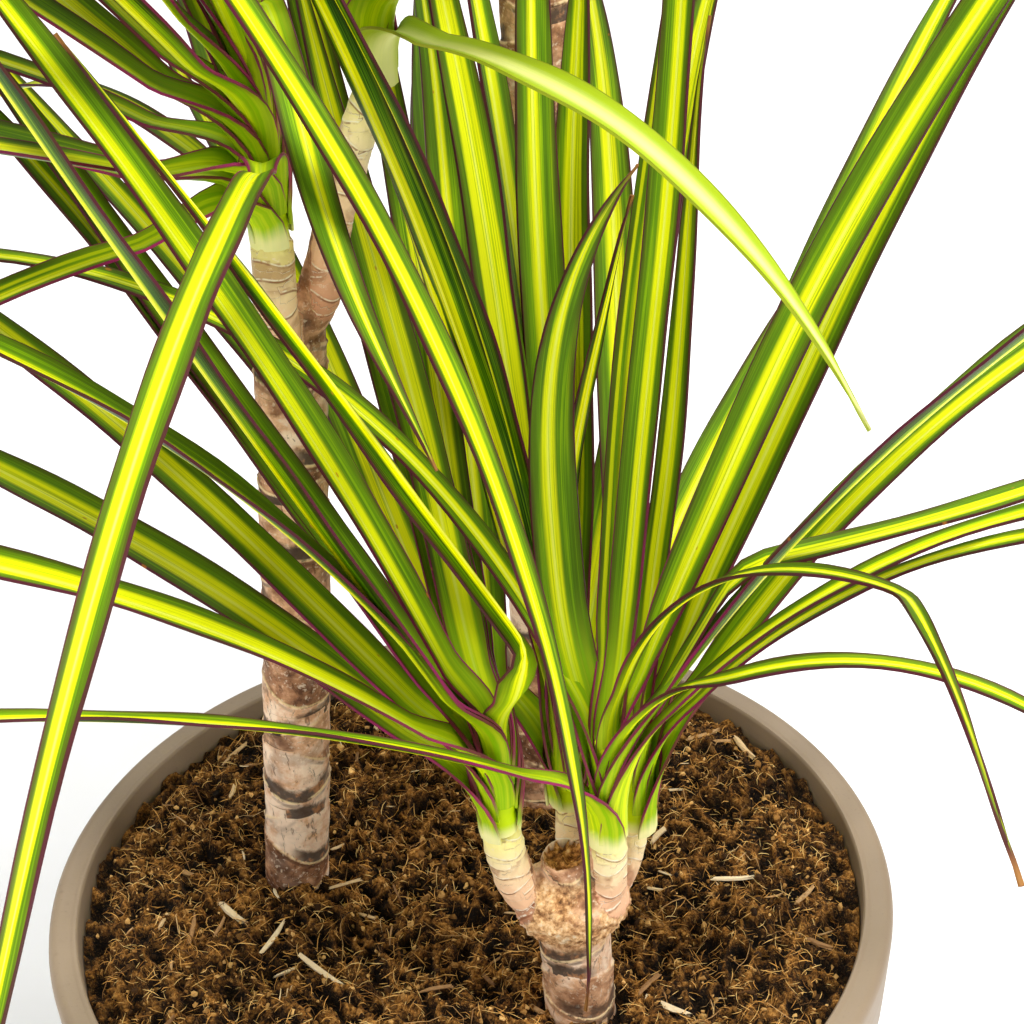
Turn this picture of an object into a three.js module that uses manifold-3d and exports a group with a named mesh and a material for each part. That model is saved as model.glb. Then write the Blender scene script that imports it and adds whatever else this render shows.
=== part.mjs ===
// A potted dracaena with three sawn canes, each carrying leafy side shoots, in a round plastic pot.
// Millimetres and degrees, +Z up. The origin is the centre of the pot's underside.
// Turns are counted anticlockwise from +X, seen from above.

import * as THREE from 'three';
import { mergeVertices } from 'three/addons/utils/BufferGeometryUtils.js';
import Module from 'manifold-3d';

const wasm = await Module();
wasm.setup();

// ---------------------------------------------------------------- driving dimensions

const clearance = 0.3;

const pot = {
  height: 240,
  rimRadius: 135,
  rimInnerRadius: 125.5,
  bandHeight: 30,
  bandTaper: 1.5,
  bodyRadius: 127,
  footRadius: 98,
  wall: 3,
  floor: 4,
  edgeRound: 1.5,
  lipRound: 1,
  bandStep: 6,
  drainHoles: 8,
  drainHoleRadius: 5,
  drainCircleRadius: 72,
  sides: 48,
};

const soil = { level: 235.5, relief: 1.6, edgeDrop: 1.6, edgeInset: 5, wallGap: 0.42, rings: 6, spokes: 30 };

const cane = { sides: 10, ringSpacing: 24, ringRelief: 0.7 };
const shootSides = 8;

const leaf = {
  thickness: 1.4,
  channel: 0.13,
  droopPower: 1.2,
  rootShare: 0.35,
  growShare: 0.16,
  taperStart: 0.4,
  taperPower: 1.7,
  kinkSpan: 0.08,
  rollShare: 0.3,
  strongDroop: 70,
  steps: 50,
};

// Centre lines of the three canes, from inside the soil to the sawn top, and their radii.
const canes = {
  short: { radius: 10.8, route: [[32.4, -51.8, 169], [32.8, -51.8, 236], [31.4, -52.7, 270.4], [29.5, -53.7, 296.3]] },
  middle: { radius: 10.5, route: [[-61.4, 11.4, 169], [-56.6, 11.4, 236], [-47, 10.9, 345.1], [-43.2, 9.5, 394.8], [-39.4, 7.6, 448.4]] },
  tall: { radius: 10.5, route: [[20.9, 43, 169], [24.6, 43, 236], [30.5, 42, 425.4], [32.4, 42, 511.5], [35.3, 41, 624.4], [34.3, 40.1, 715.3]] },
};

// Side shoots: which cane they leave, their centre line up to the leafy head, and their radii.
const shoots = {
  a: { cane: 'short', radius: [6.7, 5.7], route: [[28.6, -53.7, 276.2], [18.1, -54.6, 283.8], [13.7, -56.6, 296.3], [11.6, -57.5, 310.6]] },
  b: { cane: 'short', radius: [6.2, 5.3], route: [[33.4, -53.7, 276.2], [40.1, -55.6, 281.9], [42, -57, 291.5], [42.2, -57.5, 304.9]] },
  c: { cane: 'short', radius: [4.3, 3.8], route: [[36.2, -48.9, 266.6], [45.8, -43.2, 276.2], [49.6, -40.3, 283.8], [51.5, -39.3, 294.4]] },
  d: { cane: 'short', radius: [4.3, 3.8], route: [[31.4, -44.1, 272.4], [31.6, -34.5, 280], [31.8, -30.7, 286.7], [31.8, -28.8, 294.4]] },
  e: { cane: 'middle', radius: [6.7, 5.7], route: [[-41.3, 3.7, 431.2], [-41.7, -4.9, 440.7], [-41.3, -6.8, 454.1], [-40.8, -3.9, 471.4]] },
  f: { cane: 'middle', radius: [5.7, 4.8], route: [[-39.4, 6.6, 436.9], [-30.7, 2.8, 452.2], [-22.1, 0.9, 480.9], [-10.7, 0.9, 512.5]] },
  g: { cane: 'tall', radius: [6.7, 5.7], route: [[32.4, 36.3, 691.4], [21.9, 28.6, 702.9], [15.2, 24.8, 722], [12.3, 22.9, 746.9]] },
  h: { cane: 'tall', radius: [6.7, 5.7], route: [[37.2, 42, 697.2], [48.7, 43.9, 706.7], [56.3, 46.8, 727.8], [60.1, 48.7, 758.4]] },
  i: { cane: 'tall', radius: [5.7, 4.8], route: [[33.4, 47.7, 681.8], [29.5, 61.1, 693.3], [24.7, 68.8, 712.5], [21.9, 73.6, 735.4]] },
};

const knob = { centre: [31, -53.2, 278.1], size: [18.2, 14.4, 12.4] };

// Leaves that are set one by one. Rise and droop bend a leaf up from level and down along its length,
// sway swings it sideways and roll turns its face. A kink is [share of the length, drop, turn].
const placedLeaves = {
  e: [
    { turn: 276, rise: 30, length: 383, droop: 78, sway: -22, width: 8.4 },
    { turn: 203, rise: 1, length: 325, droop: 80, sway: 7, width: 12.4 },
    { turn: 198, rise: 72, length: 373, droop: 3, width: 14.4 },
    { turn: 165, rise: 30, length: 287, droop: 75, width: 8.6 },
    { turn: 126, rise: 12, length: 306, droop: 83, width: 8.6 },
    { turn: 304, rise: 76, length: 153, droop: 0, sway: 15, width: 9.6, kink: [0.15, 115, -21] },
    { turn: 239, rise: 71, length: 384, droop: 56, sway: 7, width: 8.6, kink: [0.15, 112, 82] },
  ],
  a: [
    { turn: 204, rise: 50, length: 373, droop: 47, width: 15.3 },
    { turn: 210, rise: 64, length: 373, droop: -4, width: 15.3 },
    { turn: 206, rise: 66, length: 368, droop: 53, width: 15.3 },
    { turn: 304, rise: 67, length: 251, droop: -3, width: 13.4, kink: [0.19, -47, 62] },
    { turn: 168, rise: 69, length: 373, droop: 21, width: 15.3 },
  ],
  b: [
    { turn: 131, rise: 68, length: 195, droop: -59, sway: 8, width: 13.2, roll: -40 },
    { turn: 151, rise: 70, length: 317, droop: 96, sway: 30, width: 10.5 },
    { turn: 205, rise: 38, length: 364, droop: 38, width: 9.6, roll: 20 },
    { turn: 4, rise: 73, length: 380, droop: 24, sway: 1, width: 11.5, roll: 55 },
    { turn: 346, rise: 63, length: 373, droop: 42, width: 14.4, roll: -15 },
    { turn: 301, rise: 80, length: 256, droop: 136, sway: 22, width: 5.8, kink: [0.6, -24, -45] },
    { turn: 344, rise: 59, length: 321, droop: 83, sway: -5, width: 8 },
    { turn: 356, rise: 62, length: 301, droop: -21, sway: 2, width: 9, kink: [0.25, 58, 9] },
    { turn: 309, rise: 69, length: 225, droop: 158, sway: 1, width: 7, kink: [0.3, 0, 32] },
    { turn: 60, rise: 75, length: 368, droop: -11, sway: 3, width: 9.6 },
  ],
  c: [
    { turn: 6, rise: 73, length: 380, droop: 20, sway: 2, width: 12, roll: 42 },
    { turn: 0, rise: 88, length: 232, droop: 97, sway: 84, width: 8 },
    { turn: 350, rise: 64, length: 281, droop: 105, sway: -8, width: 6 },
    { turn: 60, rise: 78, length: 213, droop: 3, sway: 1, width: 8 },
  ],
  f: [
    { turn: 300, rise: 20, length: 201, droop: 60, sway: 4, width: 9.6 },
  ],
  d: [
    { turn: 172, rise: 87, length: 335, droop: 26, width: 14.4, roll: 50 },
    { turn: 130, rise: 88, length: 335, droop: 18, width: 14.4, roll: 20 },
    { turn: 101, rise: 86, length: 316, droop: -9, width: 12.4 },
    { turn: 150, rise: 75, length: 215, droop: 2, width: 8.6, roll: 60 },
    { turn: 182, rise: 84, length: 316, droop: 29, width: 10.5, roll: 20 },
    { turn: 358, rise: 88, length: 174, droop: 17, width: 6.5, roll: -60 },
  ],
};

// Leafy heads: where the head stands, the height of its green core, and the leaves that a rule spreads
// over it between two turns and two rises, from the lowest to the innermost.
const heads = {
  a: { at: [11.6, -57.5, 310.9], core: 34.4, leaves: 14, turns: [79, 146], rises: [22, 74], droop: 18, seed: 670 },
  b: { at: [42.2, -57.5, 305.2], core: 34.4, leaves: 3, turns: [52, 129], rises: [10, 87], droop: 30, seed: 28 },
  c: { at: [51.5, -39.3, 294.6], core: 28.7, leaves: 4, turns: [17, 140], rises: [48, 70], droop: 68, seed: 255 },
  d: { at: [31.8, -28.8, 294.6], core: 28.7, leaves: 9, turns: [51, 206], rises: [24, 86], droop: 13, seed: 217 },
  e: { at: [-40.8, -3.9, 471.6], core: 53.6, leaves: 17, turns: [68, 231], rises: [16, 82], droop: 13, seed: 334 },
  f: { at: [-10.7, 0.9, 512.8], core: 53.6, leaves: 20, turns: [-60, 200], rises: [24, 86], droop: 50, seed: 542 },
  g: { at: [12.3, 22.9, 747.2], core: 53.6, leaves: 20, turns: [130, 330], rises: [24, 86], droop: 52, seed: 71 },
  h: { at: [60.1, 48.7, 758.7], core: 53.6, leaves: 20, turns: [-80, 90], rises: [24, 86], droop: 52, seed: 83 },
  i: { at: [21.9, 73.6, 735.7], core: 53.6, leaves: 18, turns: [50, 200], rises: [10, 84], droop: 60, seed: 97 },
};

const headRule = {
  coreSides: 8,
  coreTopShare: 0.7,
  seatRadius: 5.7,
  rootSink: 3.3,
  lowestRoot: 5.7,
  topRoot: 4.8,
  golden: 0.618034,
  outerLength: 373.1,
  innerLength: 248.8,
  lengthSpread: 57.4,
  turnSpread: 14,
  riseSpread: 10,
  swaySpread: 16,
  minWidth: 11.5,
  maxWidth: 15.3,
  lowestRise: 15,
  highestRise: 88,
  riseSpan: 70,
  aroundSpread: 0.1,
  droopShare: 1.1,
  droopSpread: 12,
};

// Leaves of one head keep this far from the leaves of every other head, or are swung aside.
const spacing = { gap: 5.9, alongStep: 4, acrossSteps: 4, aroundSteps: 16, rootPoints: 10, rimRoom: 5 };
// Turn and rise added to a leaf in turn, until it is clear.
const nudges = [
  [0, 0], [3, 0], [-3, 0], [0, 3], [0, -3], [6, 2], [-6, 2], [6, -3], [-6, -3], [11, 3], [-11, 3], [11, -4], [-11, -4],
  [18, 4], [-18, 4],
];

// ---------------------------------------------------------------- finishes

function finish(colour, roughness) {
  return new THREE.MeshStandardMaterial({ color: colour, roughness, metalness: 0 });
}

const finishes = {
  pot: finish(0xbea891, 0.5),
  soil: finish(0x3d2a1c, 0.95),
  bark: finish(0xa8805c, 0.8),
  leaf: finish(0x7fae2a, 0.35),
};

// ---------------------------------------------------------------- solids and meshes

function solidFrom(geometry) {
  geometry.deleteAttribute('normal');
  geometry.deleteAttribute('uv');
  const merged = mergeVertices(geometry, 1e-4);
  return new wasm.Manifold(new wasm.Mesh({
    numProp: 3,
    vertProperties: new Float32Array(merged.attributes.position.array),
    triVerts: new Uint32Array(merged.index.array),
  }));
}

// The largest connected skin of a solid, without sealed hollows and loose scraps.
function mainSkin(solid) {
  const volumes = solid.decompose().map((shell) => ({ shell, volume: shell.volume() }));
  return volumes.reduce((best, entry) => (entry.volume > best.volume ? entry : best)).shell;
}

function meshFrom(solid, name, material) {
  const result = mainSkin(solid).getMesh();
  const geometry = new THREE.BufferGeometry();
  geometry.setAttribute('position', new THREE.BufferAttribute(new Float32Array(result.vertProperties), 3));
  geometry.setIndex(new THREE.BufferAttribute(new Uint32Array(result.triVerts), 1));
  geometry.computeVertexNormals();
  const mesh = new THREE.Mesh(geometry, material.clone());
  mesh.name = name;
  return mesh;
}

// Closed skin over a list of rings with the same number of points, with a flat or pointed end.
function skin(rings) {
  const sides = rings[0].length;
  const positions = [];
  const indices = [];
  for (const ring of rings) {
    for (const point of ring) {
      positions.push(point.x, point.y, point.z);
    }
  }
  for (let row = 0; row + 1 < rings.length; row += 1) {
    for (let side = 0; side < sides; side += 1) {
      const next = (side + 1) % sides;
      const low = row * sides;
      const high = low + sides;
      indices.push(low + side, low + next, high + next);
      indices.push(low + side, high + next, high + side);
    }
  }
  const last = (rings.length - 1) * sides;
  for (let side = 1; side + 1 < sides; side += 1) {
    indices.push(0, side + 1, side);
    indices.push(last, last + side, last + side + 1);
  }
  const geometry = new THREE.BufferGeometry();
  geometry.setAttribute('position', new THREE.BufferAttribute(new Float32Array(positions), 3));
  geometry.setIndex(indices);
  return geometry;
}

// Whole-number generator, so that the same draws come out everywhere.
function makeDraw(seed) {
  let state = seed * 7919 + 17;
  return () => {
    state = (state * 16807) % 2147483647;
    return state / 2147483647;
  };
}

const radians = (degrees) => (degrees * Math.PI) / 180;
const clamp = (value, low, high) => Math.min(Math.max(value, low), high);
const mix = (from, to, share) => from + (to - from) * share;

function smoothShare(share) {
  const held = clamp(share, 0, 1);
  return held * held * (3 - 2 * held);
}

// ---------------------------------------------------------------- pot and soil

function turned(outline, sides) {
  const points = outline.map(([radius, height]) => new THREE.Vector2(radius, height));
  const geometry = new THREE.LatheGeometry(points, sides);
  geometry.rotateX(Math.PI / 2);
  return solidFrom(geometry);
}

const wallTop = pot.height - pot.bandHeight - pot.bandStep;

function buildPot() {
  const bandBottom = pot.height - pot.bandHeight;
  const innerFoot = pot.footRadius - pot.wall;
  const outline = [
    [0, 0],
    [pot.footRadius - pot.edgeRound, 0],
    [pot.footRadius, pot.edgeRound],
    [pot.bodyRadius, bandBottom],
    [pot.rimRadius - pot.bandTaper, bandBottom + pot.edgeRound],
    [pot.rimRadius, pot.height - pot.edgeRound],
    [pot.rimRadius - pot.edgeRound, pot.height],
    [pot.rimInnerRadius + pot.lipRound, pot.height],
    [pot.rimInnerRadius, pot.height - pot.lipRound],
    [pot.bodyRadius - pot.wall, wallTop],
    [innerFoot, pot.floor],
    [0, pot.floor],
  ];
  let body = turned(outline, pot.sides);
  for (let hole = 0; hole < pot.drainHoles; hole += 1) {
    const turn = radians((hole * 360) / pot.drainHoles);
    const drill = new THREE.CylinderGeometry(pot.drainHoleRadius, pot.drainHoleRadius, pot.floor * 3, 12);
    drill.rotateX(Math.PI / 2);
    drill.translate(pot.drainCircleRadius * Math.cos(turn), pot.drainCircleRadius * Math.sin(turn), pot.floor / 2);
    body = body.subtract(solidFrom(drill));
  }
  return body;
}

// Inner radius of the pot at a height, from the slope of its wall.
function potInnerRadius(height) {
  const wallTopRadius = pot.bodyRadius - pot.wall;
  if (height < wallTop) {
    return mix(pot.footRadius - pot.wall, wallTopRadius, (height - pot.floor) / (wallTop - pot.floor));
  }
  return mix(wallTopRadius, pot.rimInnerRadius, (height - wallTop) / (pot.height - pot.lipRound - wallTop));
}

function soilHeight(x, y) {
  const waves = Math.sin(x * 0.11 + 1.3) * Math.cos(y * 0.09 - 0.4) + 0.6 * Math.sin(x * 0.23 - y * 0.19 + 2.1);
  return soil.level + soil.relief * waves;
}

function buildSoil(stems) {
  const rings = [];
  const bottom = pot.floor + clearance;
  const addRing = (radius, heightAt) => {
    const ring = [];
    for (let spoke = 0; spoke < soil.spokes; spoke += 1) {
      const turn = (spoke * 2 * Math.PI) / soil.spokes;
      const x = radius * Math.cos(turn);
      const y = radius * Math.sin(turn);
      ring.push(new THREE.Vector3(x, y, heightAt(x, y)));
    }
    rings.push(ring);
  };
  const polygonFit = Math.cos(Math.PI / pot.sides);
  const roomAt = (height) => potInnerRadius(height) * polygonFit - soil.wallGap;
  addRing(roomAt(bottom), () => bottom);
  addRing(roomAt(wallTop), () => wallTop);
  addRing(roomAt(soil.level - soil.edgeDrop), () => soil.level - soil.edgeDrop);
  for (let ring = soil.rings; ring > 0; ring -= 1) {
    addRing((roomAt(soil.level) - soil.edgeInset) * (ring / soil.rings), soilHeight);
  }
  let body = solidFrom(skin(rings));
  for (const stem of stems) {
    body = body.subtract(stem);
  }
  return body;
}

// ---------------------------------------------------------------- canes and shoots

// Round bar along a centre line, with a level top; radiusAt gives its radius at a share of the length.
function bar(route, sides, rows, radiusAt) {
  const line = new THREE.CatmullRomCurve3(route.map((point) => new THREE.Vector3(...point)));
  const rings = [];
  for (let row = 0; row <= rows; row += 1) {
    const share = row / rows;
    const centre = line.getPointAt(share);
    const along = line.getTangentAt(share);
    const across = new THREE.Vector3(0, 1, 0).cross(along).normalize();
    const third = along.clone().cross(across);
    const radius = radiusAt(share, row);
    const ring = [];
    for (let side = 0; side < sides; side += 1) {
      const turn = (side * 2 * Math.PI) / sides;
      ring.push(centre.clone()
        .addScaledVector(across, radius * Math.cos(turn))
        .addScaledVector(third, radius * Math.sin(turn)));
    }
    if (row === rows) {
      ring.forEach((point) => point.setZ(centre.z));
    }
    rings.push(ring);
  }
  return skin(rings);
}

function routeLength(route) {
  return new THREE.CatmullRomCurve3(route.map((point) => new THREE.Vector3(...point))).getLength();
}

function buildCane(name) {
  const { radius, route } = canes[name];
  const rows = Math.round(routeLength(route) / cane.ringSpacing) * 2;
  const ringed = (share, row) => radius + (row % 2 ? cane.ringRelief : 0);
  let body = solidFrom(bar(route, cane.sides, rows, ringed));
  for (const shoot of Object.values(shoots)) {
    if (shoot.cane === name) {
      const [low, high] = shoot.radius;
      const stem = bar(shoot.route, shootSides, 5, (share) => mix(low, high, share));
      body = body.add(solidFrom(stem));
    }
  }
  if (name === 'short') {
    const swelling = new THREE.SphereGeometry(1, 12, 8);
    swelling.scale(...knob.size);
    swelling.translate(...knob.centre);
    body = body.add(solidFrom(swelling));
  }
  return body;
}

// Plain hole in the soil for a cane.
function caneHole(name) {
  const { radius, route } = canes[name];
  const start = route[0];
  const deeper = [[start[0], start[1], start[2] - clearance * 2], ...route.slice(1)];
  const reach = (radius + cane.ringRelief + clearance) / Math.cos(Math.PI / cane.sides);
  return solidFrom(bar(deeper, cane.sides, 8, () => reach));
}

// ---------------------------------------------------------------- leaves

function leafWidth(width, share) {
  const grow = leaf.rootShare + (1 - leaf.rootShare) * smoothShare(share / leaf.growShare);
  const taper = 1 - Math.max(0, (share - leaf.taperStart) / (1 - leaf.taperStart)) ** leaf.taperPower;
  return width * grow * taper;
}

// Centre line of a leaf as points with their side and face directions, one for each step.
function leafLine(root, spec) {
  const { turn, rise, length, droop, sway = 0, roll = 0 } = spec;
  const [kinkAt, kinkDrop, kinkTurn] = spec.kink ?? [2, 0, 0];
  const step = length / leaf.steps;
  const place = root.clone();
  const line = [];
  for (let index = 0; index <= leaf.steps; index += 1) {
    const share = index / leaf.steps;
    const bent = smoothShare((share - kinkAt) / leaf.kinkSpan + 0.5);
    const pitch = radians(rise - droop * share ** leaf.droopPower - kinkDrop * bent);
    const heading = radians(turn + sway * share + kinkTurn * bent);
    const ahead = new THREE.Vector3(
      Math.cos(pitch) * Math.cos(heading),
      Math.cos(pitch) * Math.sin(heading),
      Math.sin(pitch),
    );
    const side = new THREE.Vector3(-Math.sin(heading), Math.cos(heading), 0);
    side.applyAxisAngle(ahead, radians(roll) * smoothShare(share / leaf.rollShare));
    line.push({ share, place: place.clone(), side, face: ahead.clone().cross(side) });
    place.addScaledVector(ahead, step);
  }
  return line;
}

// Steps of the centre line that carry a section: closer together at a kink and on a strong droop.
function sectionSteps({ kink, droop }) {
  if (kink) {
    const bend = Math.round(kink[0] * leaf.steps);
    const rest = (leaf.steps - bend - 2) / 10;
    const lead = bend > 16 ? [Math.round(bend * 0.35), Math.round(bend * 0.68)] : [];
    return [0, ...lead, bend - 2, bend, bend + 2, bend + 2 + Math.round(rest * 3), bend + 2 + Math.round(rest * 6), leaf.steps];
  }
  return droop > leaf.strongDroop ? [0, 5, 14, 23, 32, 41, leaf.steps] : [0, 5, 15, 27, 39, leaf.steps];
}

// Sections of a leaf: left edge, trough, right edge and keel, ending in a point.
function leafSections(root, spec) {
  const line = leafLine(root, spec);
  return sectionSteps(spec).map((index) => {
    const { share, place, side, face } = line[index];
    const half = leafWidth(spec.width, share) / 2;
    const raised = place.clone().addScaledVector(face, half * 2 * leaf.channel);
    return [
      raised.clone().addScaledVector(side, half),
      place,
      raised.clone().addScaledVector(side, -half),
      place.clone().addScaledVector(face, -leaf.thickness),
    ];
  });
}

function leafSolid(sections) {
  const rings = sections.slice(0, -1);
  const tip = sections[sections.length - 1][1];
  const sides = rings[0].length;
  const positions = rings.flat().concat(tip).flatMap((point) => [point.x, point.y, point.z]);
  const indices = [0, 2, 1, 0, 3, 2];
  for (let row = 0; row + 1 < rings.length; row += 1) {
    for (let side = 0; side < sides; side += 1) {
      const next = (side + 1) % sides;
      const low = row * sides;
      const high = low + sides;
      if (side < 2) {
        indices.push(low + side, low + next, high + next);
        indices.push(low + side, high + next, high + side);
      } else { // the underside is split the way the upper side is, so a twisted leaf keeps its thickness
        indices.push(low + side, low + next, high + side);
        indices.push(low + next, high + next, high + side);
      }
    }
  }
  const last = (rings.length - 1) * sides;
  for (let side = 0; side < sides; side += 1) {
    indices.push(last + side, last + ((side + 1) % sides), rings.length * sides);
  }
  const geometry = new THREE.BufferGeometry();
  geometry.setAttribute('position', new THREE.BufferAttribute(new Float32Array(positions), 3));
  geometry.setIndex(indices);
  return solidFrom(geometry);
}

// ---------------------------------------------------------------- keeping the heads clear of each other

const occupied = new Map();

function cellOf(value) {
  return Math.floor(value / spacing.gap);
}

function remember(point, owner) {
  const key = `${cellOf(point.x)},${cellOf(point.y)},${cellOf(point.z)}`;
  if (!occupied.has(key)) {
    occupied.set(key, []);
  }
  occupied.get(key).push({ point, owner });
}

function isTaken(point, owner) {
  const [column, row, layer] = [cellOf(point.x), cellOf(point.y), cellOf(point.z)];
  for (let dx = -1; dx <= 1; dx += 1) {
    for (let dy = -1; dy <= 1; dy += 1) {
      for (let dz = -1; dz <= 1; dz += 1) {
        for (const entry of occupied.get(`${column + dx},${row + dy},${layer + dz}`) ?? []) {
          if (entry.owner !== owner && entry.point.distanceTo(point) < spacing.gap) {
            return true;
          }
        }
      }
    }
  }
  return false;
}

// Points spread over a leaf's face, from its sections.
function leafPoints(sections) {
  const points = [];
  for (let row = 0; row + 1 < sections.length; row += 1) {
    const [low, high] = [sections[row], sections[row + 1]];
    const steps = Math.max(1, Math.ceil(low[1].distanceTo(high[1]) / spacing.alongStep));
    const ends = row + 2 < sections.length ? high : [high[1], high[1], high[1]];
    for (let step = 0; step < steps; step += 1) {
      const left = low[0].clone().lerp(ends[0], step / steps);
      const trough = low[1].clone().lerp(ends[1], step / steps);
      const right = low[2].clone().lerp(ends[2], step / steps);
      for (let across = 0; across <= spacing.acrossSteps; across += 1) {
        const share = (across / spacing.acrossSteps) * 2;
        points.push(share <= 1 ? left.clone().lerp(trough, share) : trough.clone().lerp(right, share - 1));
      }
    }
  }
  points.push(sections[sections.length - 1][1].clone());
  return points;
}

// A stem or a core as rings of points that leaves must miss.
function rememberBar(route, radius, owner) {
  const corners = route.map((corner) => new THREE.Vector3(...corner));
  for (let part = 0; part + 1 < corners.length; part += 1) {
    const rows = Math.ceil(corners[part].distanceTo(corners[part + 1]) / spacing.alongStep);
    for (let row = 0; row <= rows; row += 1) {
      const centre = corners[part].clone().lerp(corners[part + 1], row / rows);
      for (let side = 0; side < spacing.aroundSteps; side += 1) {
        const turn = (side * 2 * Math.PI) / spacing.aroundSteps;
        remember(centre.clone().add(new THREE.Vector3(radius * Math.cos(turn), radius * Math.sin(turn), 0)), owner);
      }
    }
  }
}

// Inside the pot or close to its rim.
function isTooLow(point) {
  const radius = Math.hypot(point.x, point.y);
  return radius < pot.rimRadius + spacing.rimRoom && point.z < pot.height + spacing.rimRoom;
}

// ---------------------------------------------------------------- heads

// Roots sit inside the core, higher up it for the leaves that stand more upright.
function leafRoot(head, turn, rise) {
  const share = clamp((rise - headRule.lowestRise) / headRule.riseSpan, 0, 1);
  const height = mix(headRule.lowestRoot, head.core - headRule.topRoot, share);
  const radius = coreRadius(height / head.core) - headRule.rootSink;
  return new THREE.Vector3(
    head.at[0] + radius * Math.cos(radians(turn)),
    head.at[1] + radius * Math.sin(radians(turn)),
    head.at[2] + height,
  );
}

function coreRadius(share) {
  return mix(headRule.seatRadius, headRule.seatRadius * headRule.coreTopShare, share);
}

function tryLeaf(name, spec) {
  const head = heads[name];
  for (const [turnShift, riseShift] of nudges) {
    const shifted = { ...spec, turn: spec.turn + turnShift, rise: spec.rise + riseShift };
    const sections = leafSections(leafRoot(head, shifted.turn, spec.rise), shifted);
    const points = leafPoints(sections);
    const own = points.slice(spacing.rootPoints);
    if (!own.some((point) => isTooLow(point) || isTaken(point, name))) {
      points.forEach((point) => remember(point, name));
      return sections;
    }
  }
  return null;
}

// Leaves spread by the golden ratio, drooping most at the bottom of the head.
function spreadLeaves(head) {
  const draw = makeDraw(head.seed);
  const specs = [];
  for (let index = 0; index < head.leaves; index += 1) {
    const share = (index + 0.5) / head.leaves;
    const aroundShare = (index * headRule.golden + draw() * headRule.aroundSpread) % 1;
    const turn = mix(head.turns[0], head.turns[1], aroundShare) + (draw() - 0.5) * headRule.turnSpread;
    const rise = mix(head.rises[0], head.rises[1], share) + (draw() - 0.5) * headRule.riseSpread;
    const length = mix(headRule.outerLength, headRule.innerLength, share ** 3) - draw() * headRule.lengthSpread;
    const droop = head.droop * (headRule.droopShare - share) + draw() * headRule.droopSpread;
    const sway = (draw() - 0.5) * headRule.swaySpread;
    const width = mix(headRule.minWidth, headRule.maxWidth, draw());
    specs.push({ turn, rise: Math.min(rise, headRule.highestRise), length, droop, sway, width });
  }
  return specs;
}

function buildCore(head) {
  const [x, y, z] = head.at;
  const route = [[x, y, z], [x, y, z + head.core * 0.5], [x, y, z + head.core]];
  return solidFrom(bar(route, headRule.coreSides, 2, coreRadius));
}

function buildHeads() {
  for (const shoot of Object.values(shoots)) {
    rememberBar(shoot.route, shoot.radius[0], 'stem');
  }
  for (const { route, radius } of Object.values(canes)) {
    rememberBar(route, radius, 'stem');
  }
  for (const [name, head] of Object.entries(heads)) {
    const [x, y, z] = head.at;
    rememberBar([[x, y, z], [x, y, z + head.core * 0.5], [x, y, z + head.core]], headRule.seatRadius, name);
  }
  const grown = Object.fromEntries(Object.keys(heads).map((name) => [name, []]));
  const spread = Object.entries(heads).map(([name, head]) => [name, spreadLeaves(head)]);
  for (const [name, specs] of [...Object.entries(placedLeaves), ...spread]) {
    for (const spec of specs) {
      const sections = tryLeaf(name, spec);
      if (sections) {
        grown[name].push(sections);
      }
    }
  }
  return grown;
}

// ---------------------------------------------------------------- the whole plant

const plant = new THREE.Group();

plant.add(meshFrom(buildPot(), 'pot', finishes.pot));
plant.add(meshFrom(buildSoil(Object.keys(canes).map(caneHole)), 'soil', finishes.soil));
for (const name of Object.keys(canes)) {
  plant.add(meshFrom(buildCane(name), `cane_${name}`, finishes.bark));
}
for (const [name, leaves] of Object.entries(buildHeads())) {
  let body = buildCore(heads[name]);
  for (const sections of leaves) {
    body = body.add(leafSolid(sections));
  }
  plant.add(meshFrom(body, `head_${name}`, finishes.leaf));
}

export default plant;
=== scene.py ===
import math
import random

import bpy
import numpy as np
from mathutils import Matrix, Vector, noise


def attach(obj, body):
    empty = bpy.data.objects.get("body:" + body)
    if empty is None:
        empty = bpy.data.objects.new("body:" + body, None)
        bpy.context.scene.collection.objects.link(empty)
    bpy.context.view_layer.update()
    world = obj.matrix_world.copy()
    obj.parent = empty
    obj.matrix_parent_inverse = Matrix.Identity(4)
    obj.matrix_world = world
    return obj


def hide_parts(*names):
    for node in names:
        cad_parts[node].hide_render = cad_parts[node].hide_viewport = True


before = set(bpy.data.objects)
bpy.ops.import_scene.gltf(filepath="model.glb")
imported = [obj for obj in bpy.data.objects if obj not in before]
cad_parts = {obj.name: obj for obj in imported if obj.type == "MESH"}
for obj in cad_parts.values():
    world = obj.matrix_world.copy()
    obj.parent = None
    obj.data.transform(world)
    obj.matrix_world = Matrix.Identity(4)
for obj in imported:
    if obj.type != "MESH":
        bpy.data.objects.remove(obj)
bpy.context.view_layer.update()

mm = 0.001  # sizes below are in millimetres, as in the part's own source


def setAll(thing, settings):
    for key, value in settings.items():
        setattr(thing, key, value)


# Camera, light and floor

camera = {
    "place": (0.0192, -0.5333, 0.7227), "lookDown": 32.75, "lean": -2.72,
    "eye": {"lens": 77.34, "sensor_width": 36, "sensor_fit": "HORIZONTAL", "clip_start": 0.01, "clip_end": 50},
}

studio = {
    "floorHeight": -0.0008, "floorSize": 9, "floorShades": [(0.94, 0.94, 0.94, 1), (0.96, 0.96, 0.96, 1)],
    "skyColour": (1, 1, 1, 1), "skyStrength": 0.42,
    "lamps": [  # name, place, aimed at, size, watts
        ("softboxTop", (0.35, -0.55, 2.7), (0.0, 0.0, 0.4), 0.6, 88),
        ("softboxRight", (1.9, -0.8, 1.3), (0.05, 0.0, 0.4), 0.8, 22),
        ("softboxLeft", (-1.7, -1.3, 1.5), (0.0, 0.0, 0.35), 0.9, 18),
        ("softboxBack", (0.2, 1.9, 2.2), (0.0, 0.0, 0.5), 1.4, 22),
    ],
}


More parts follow.
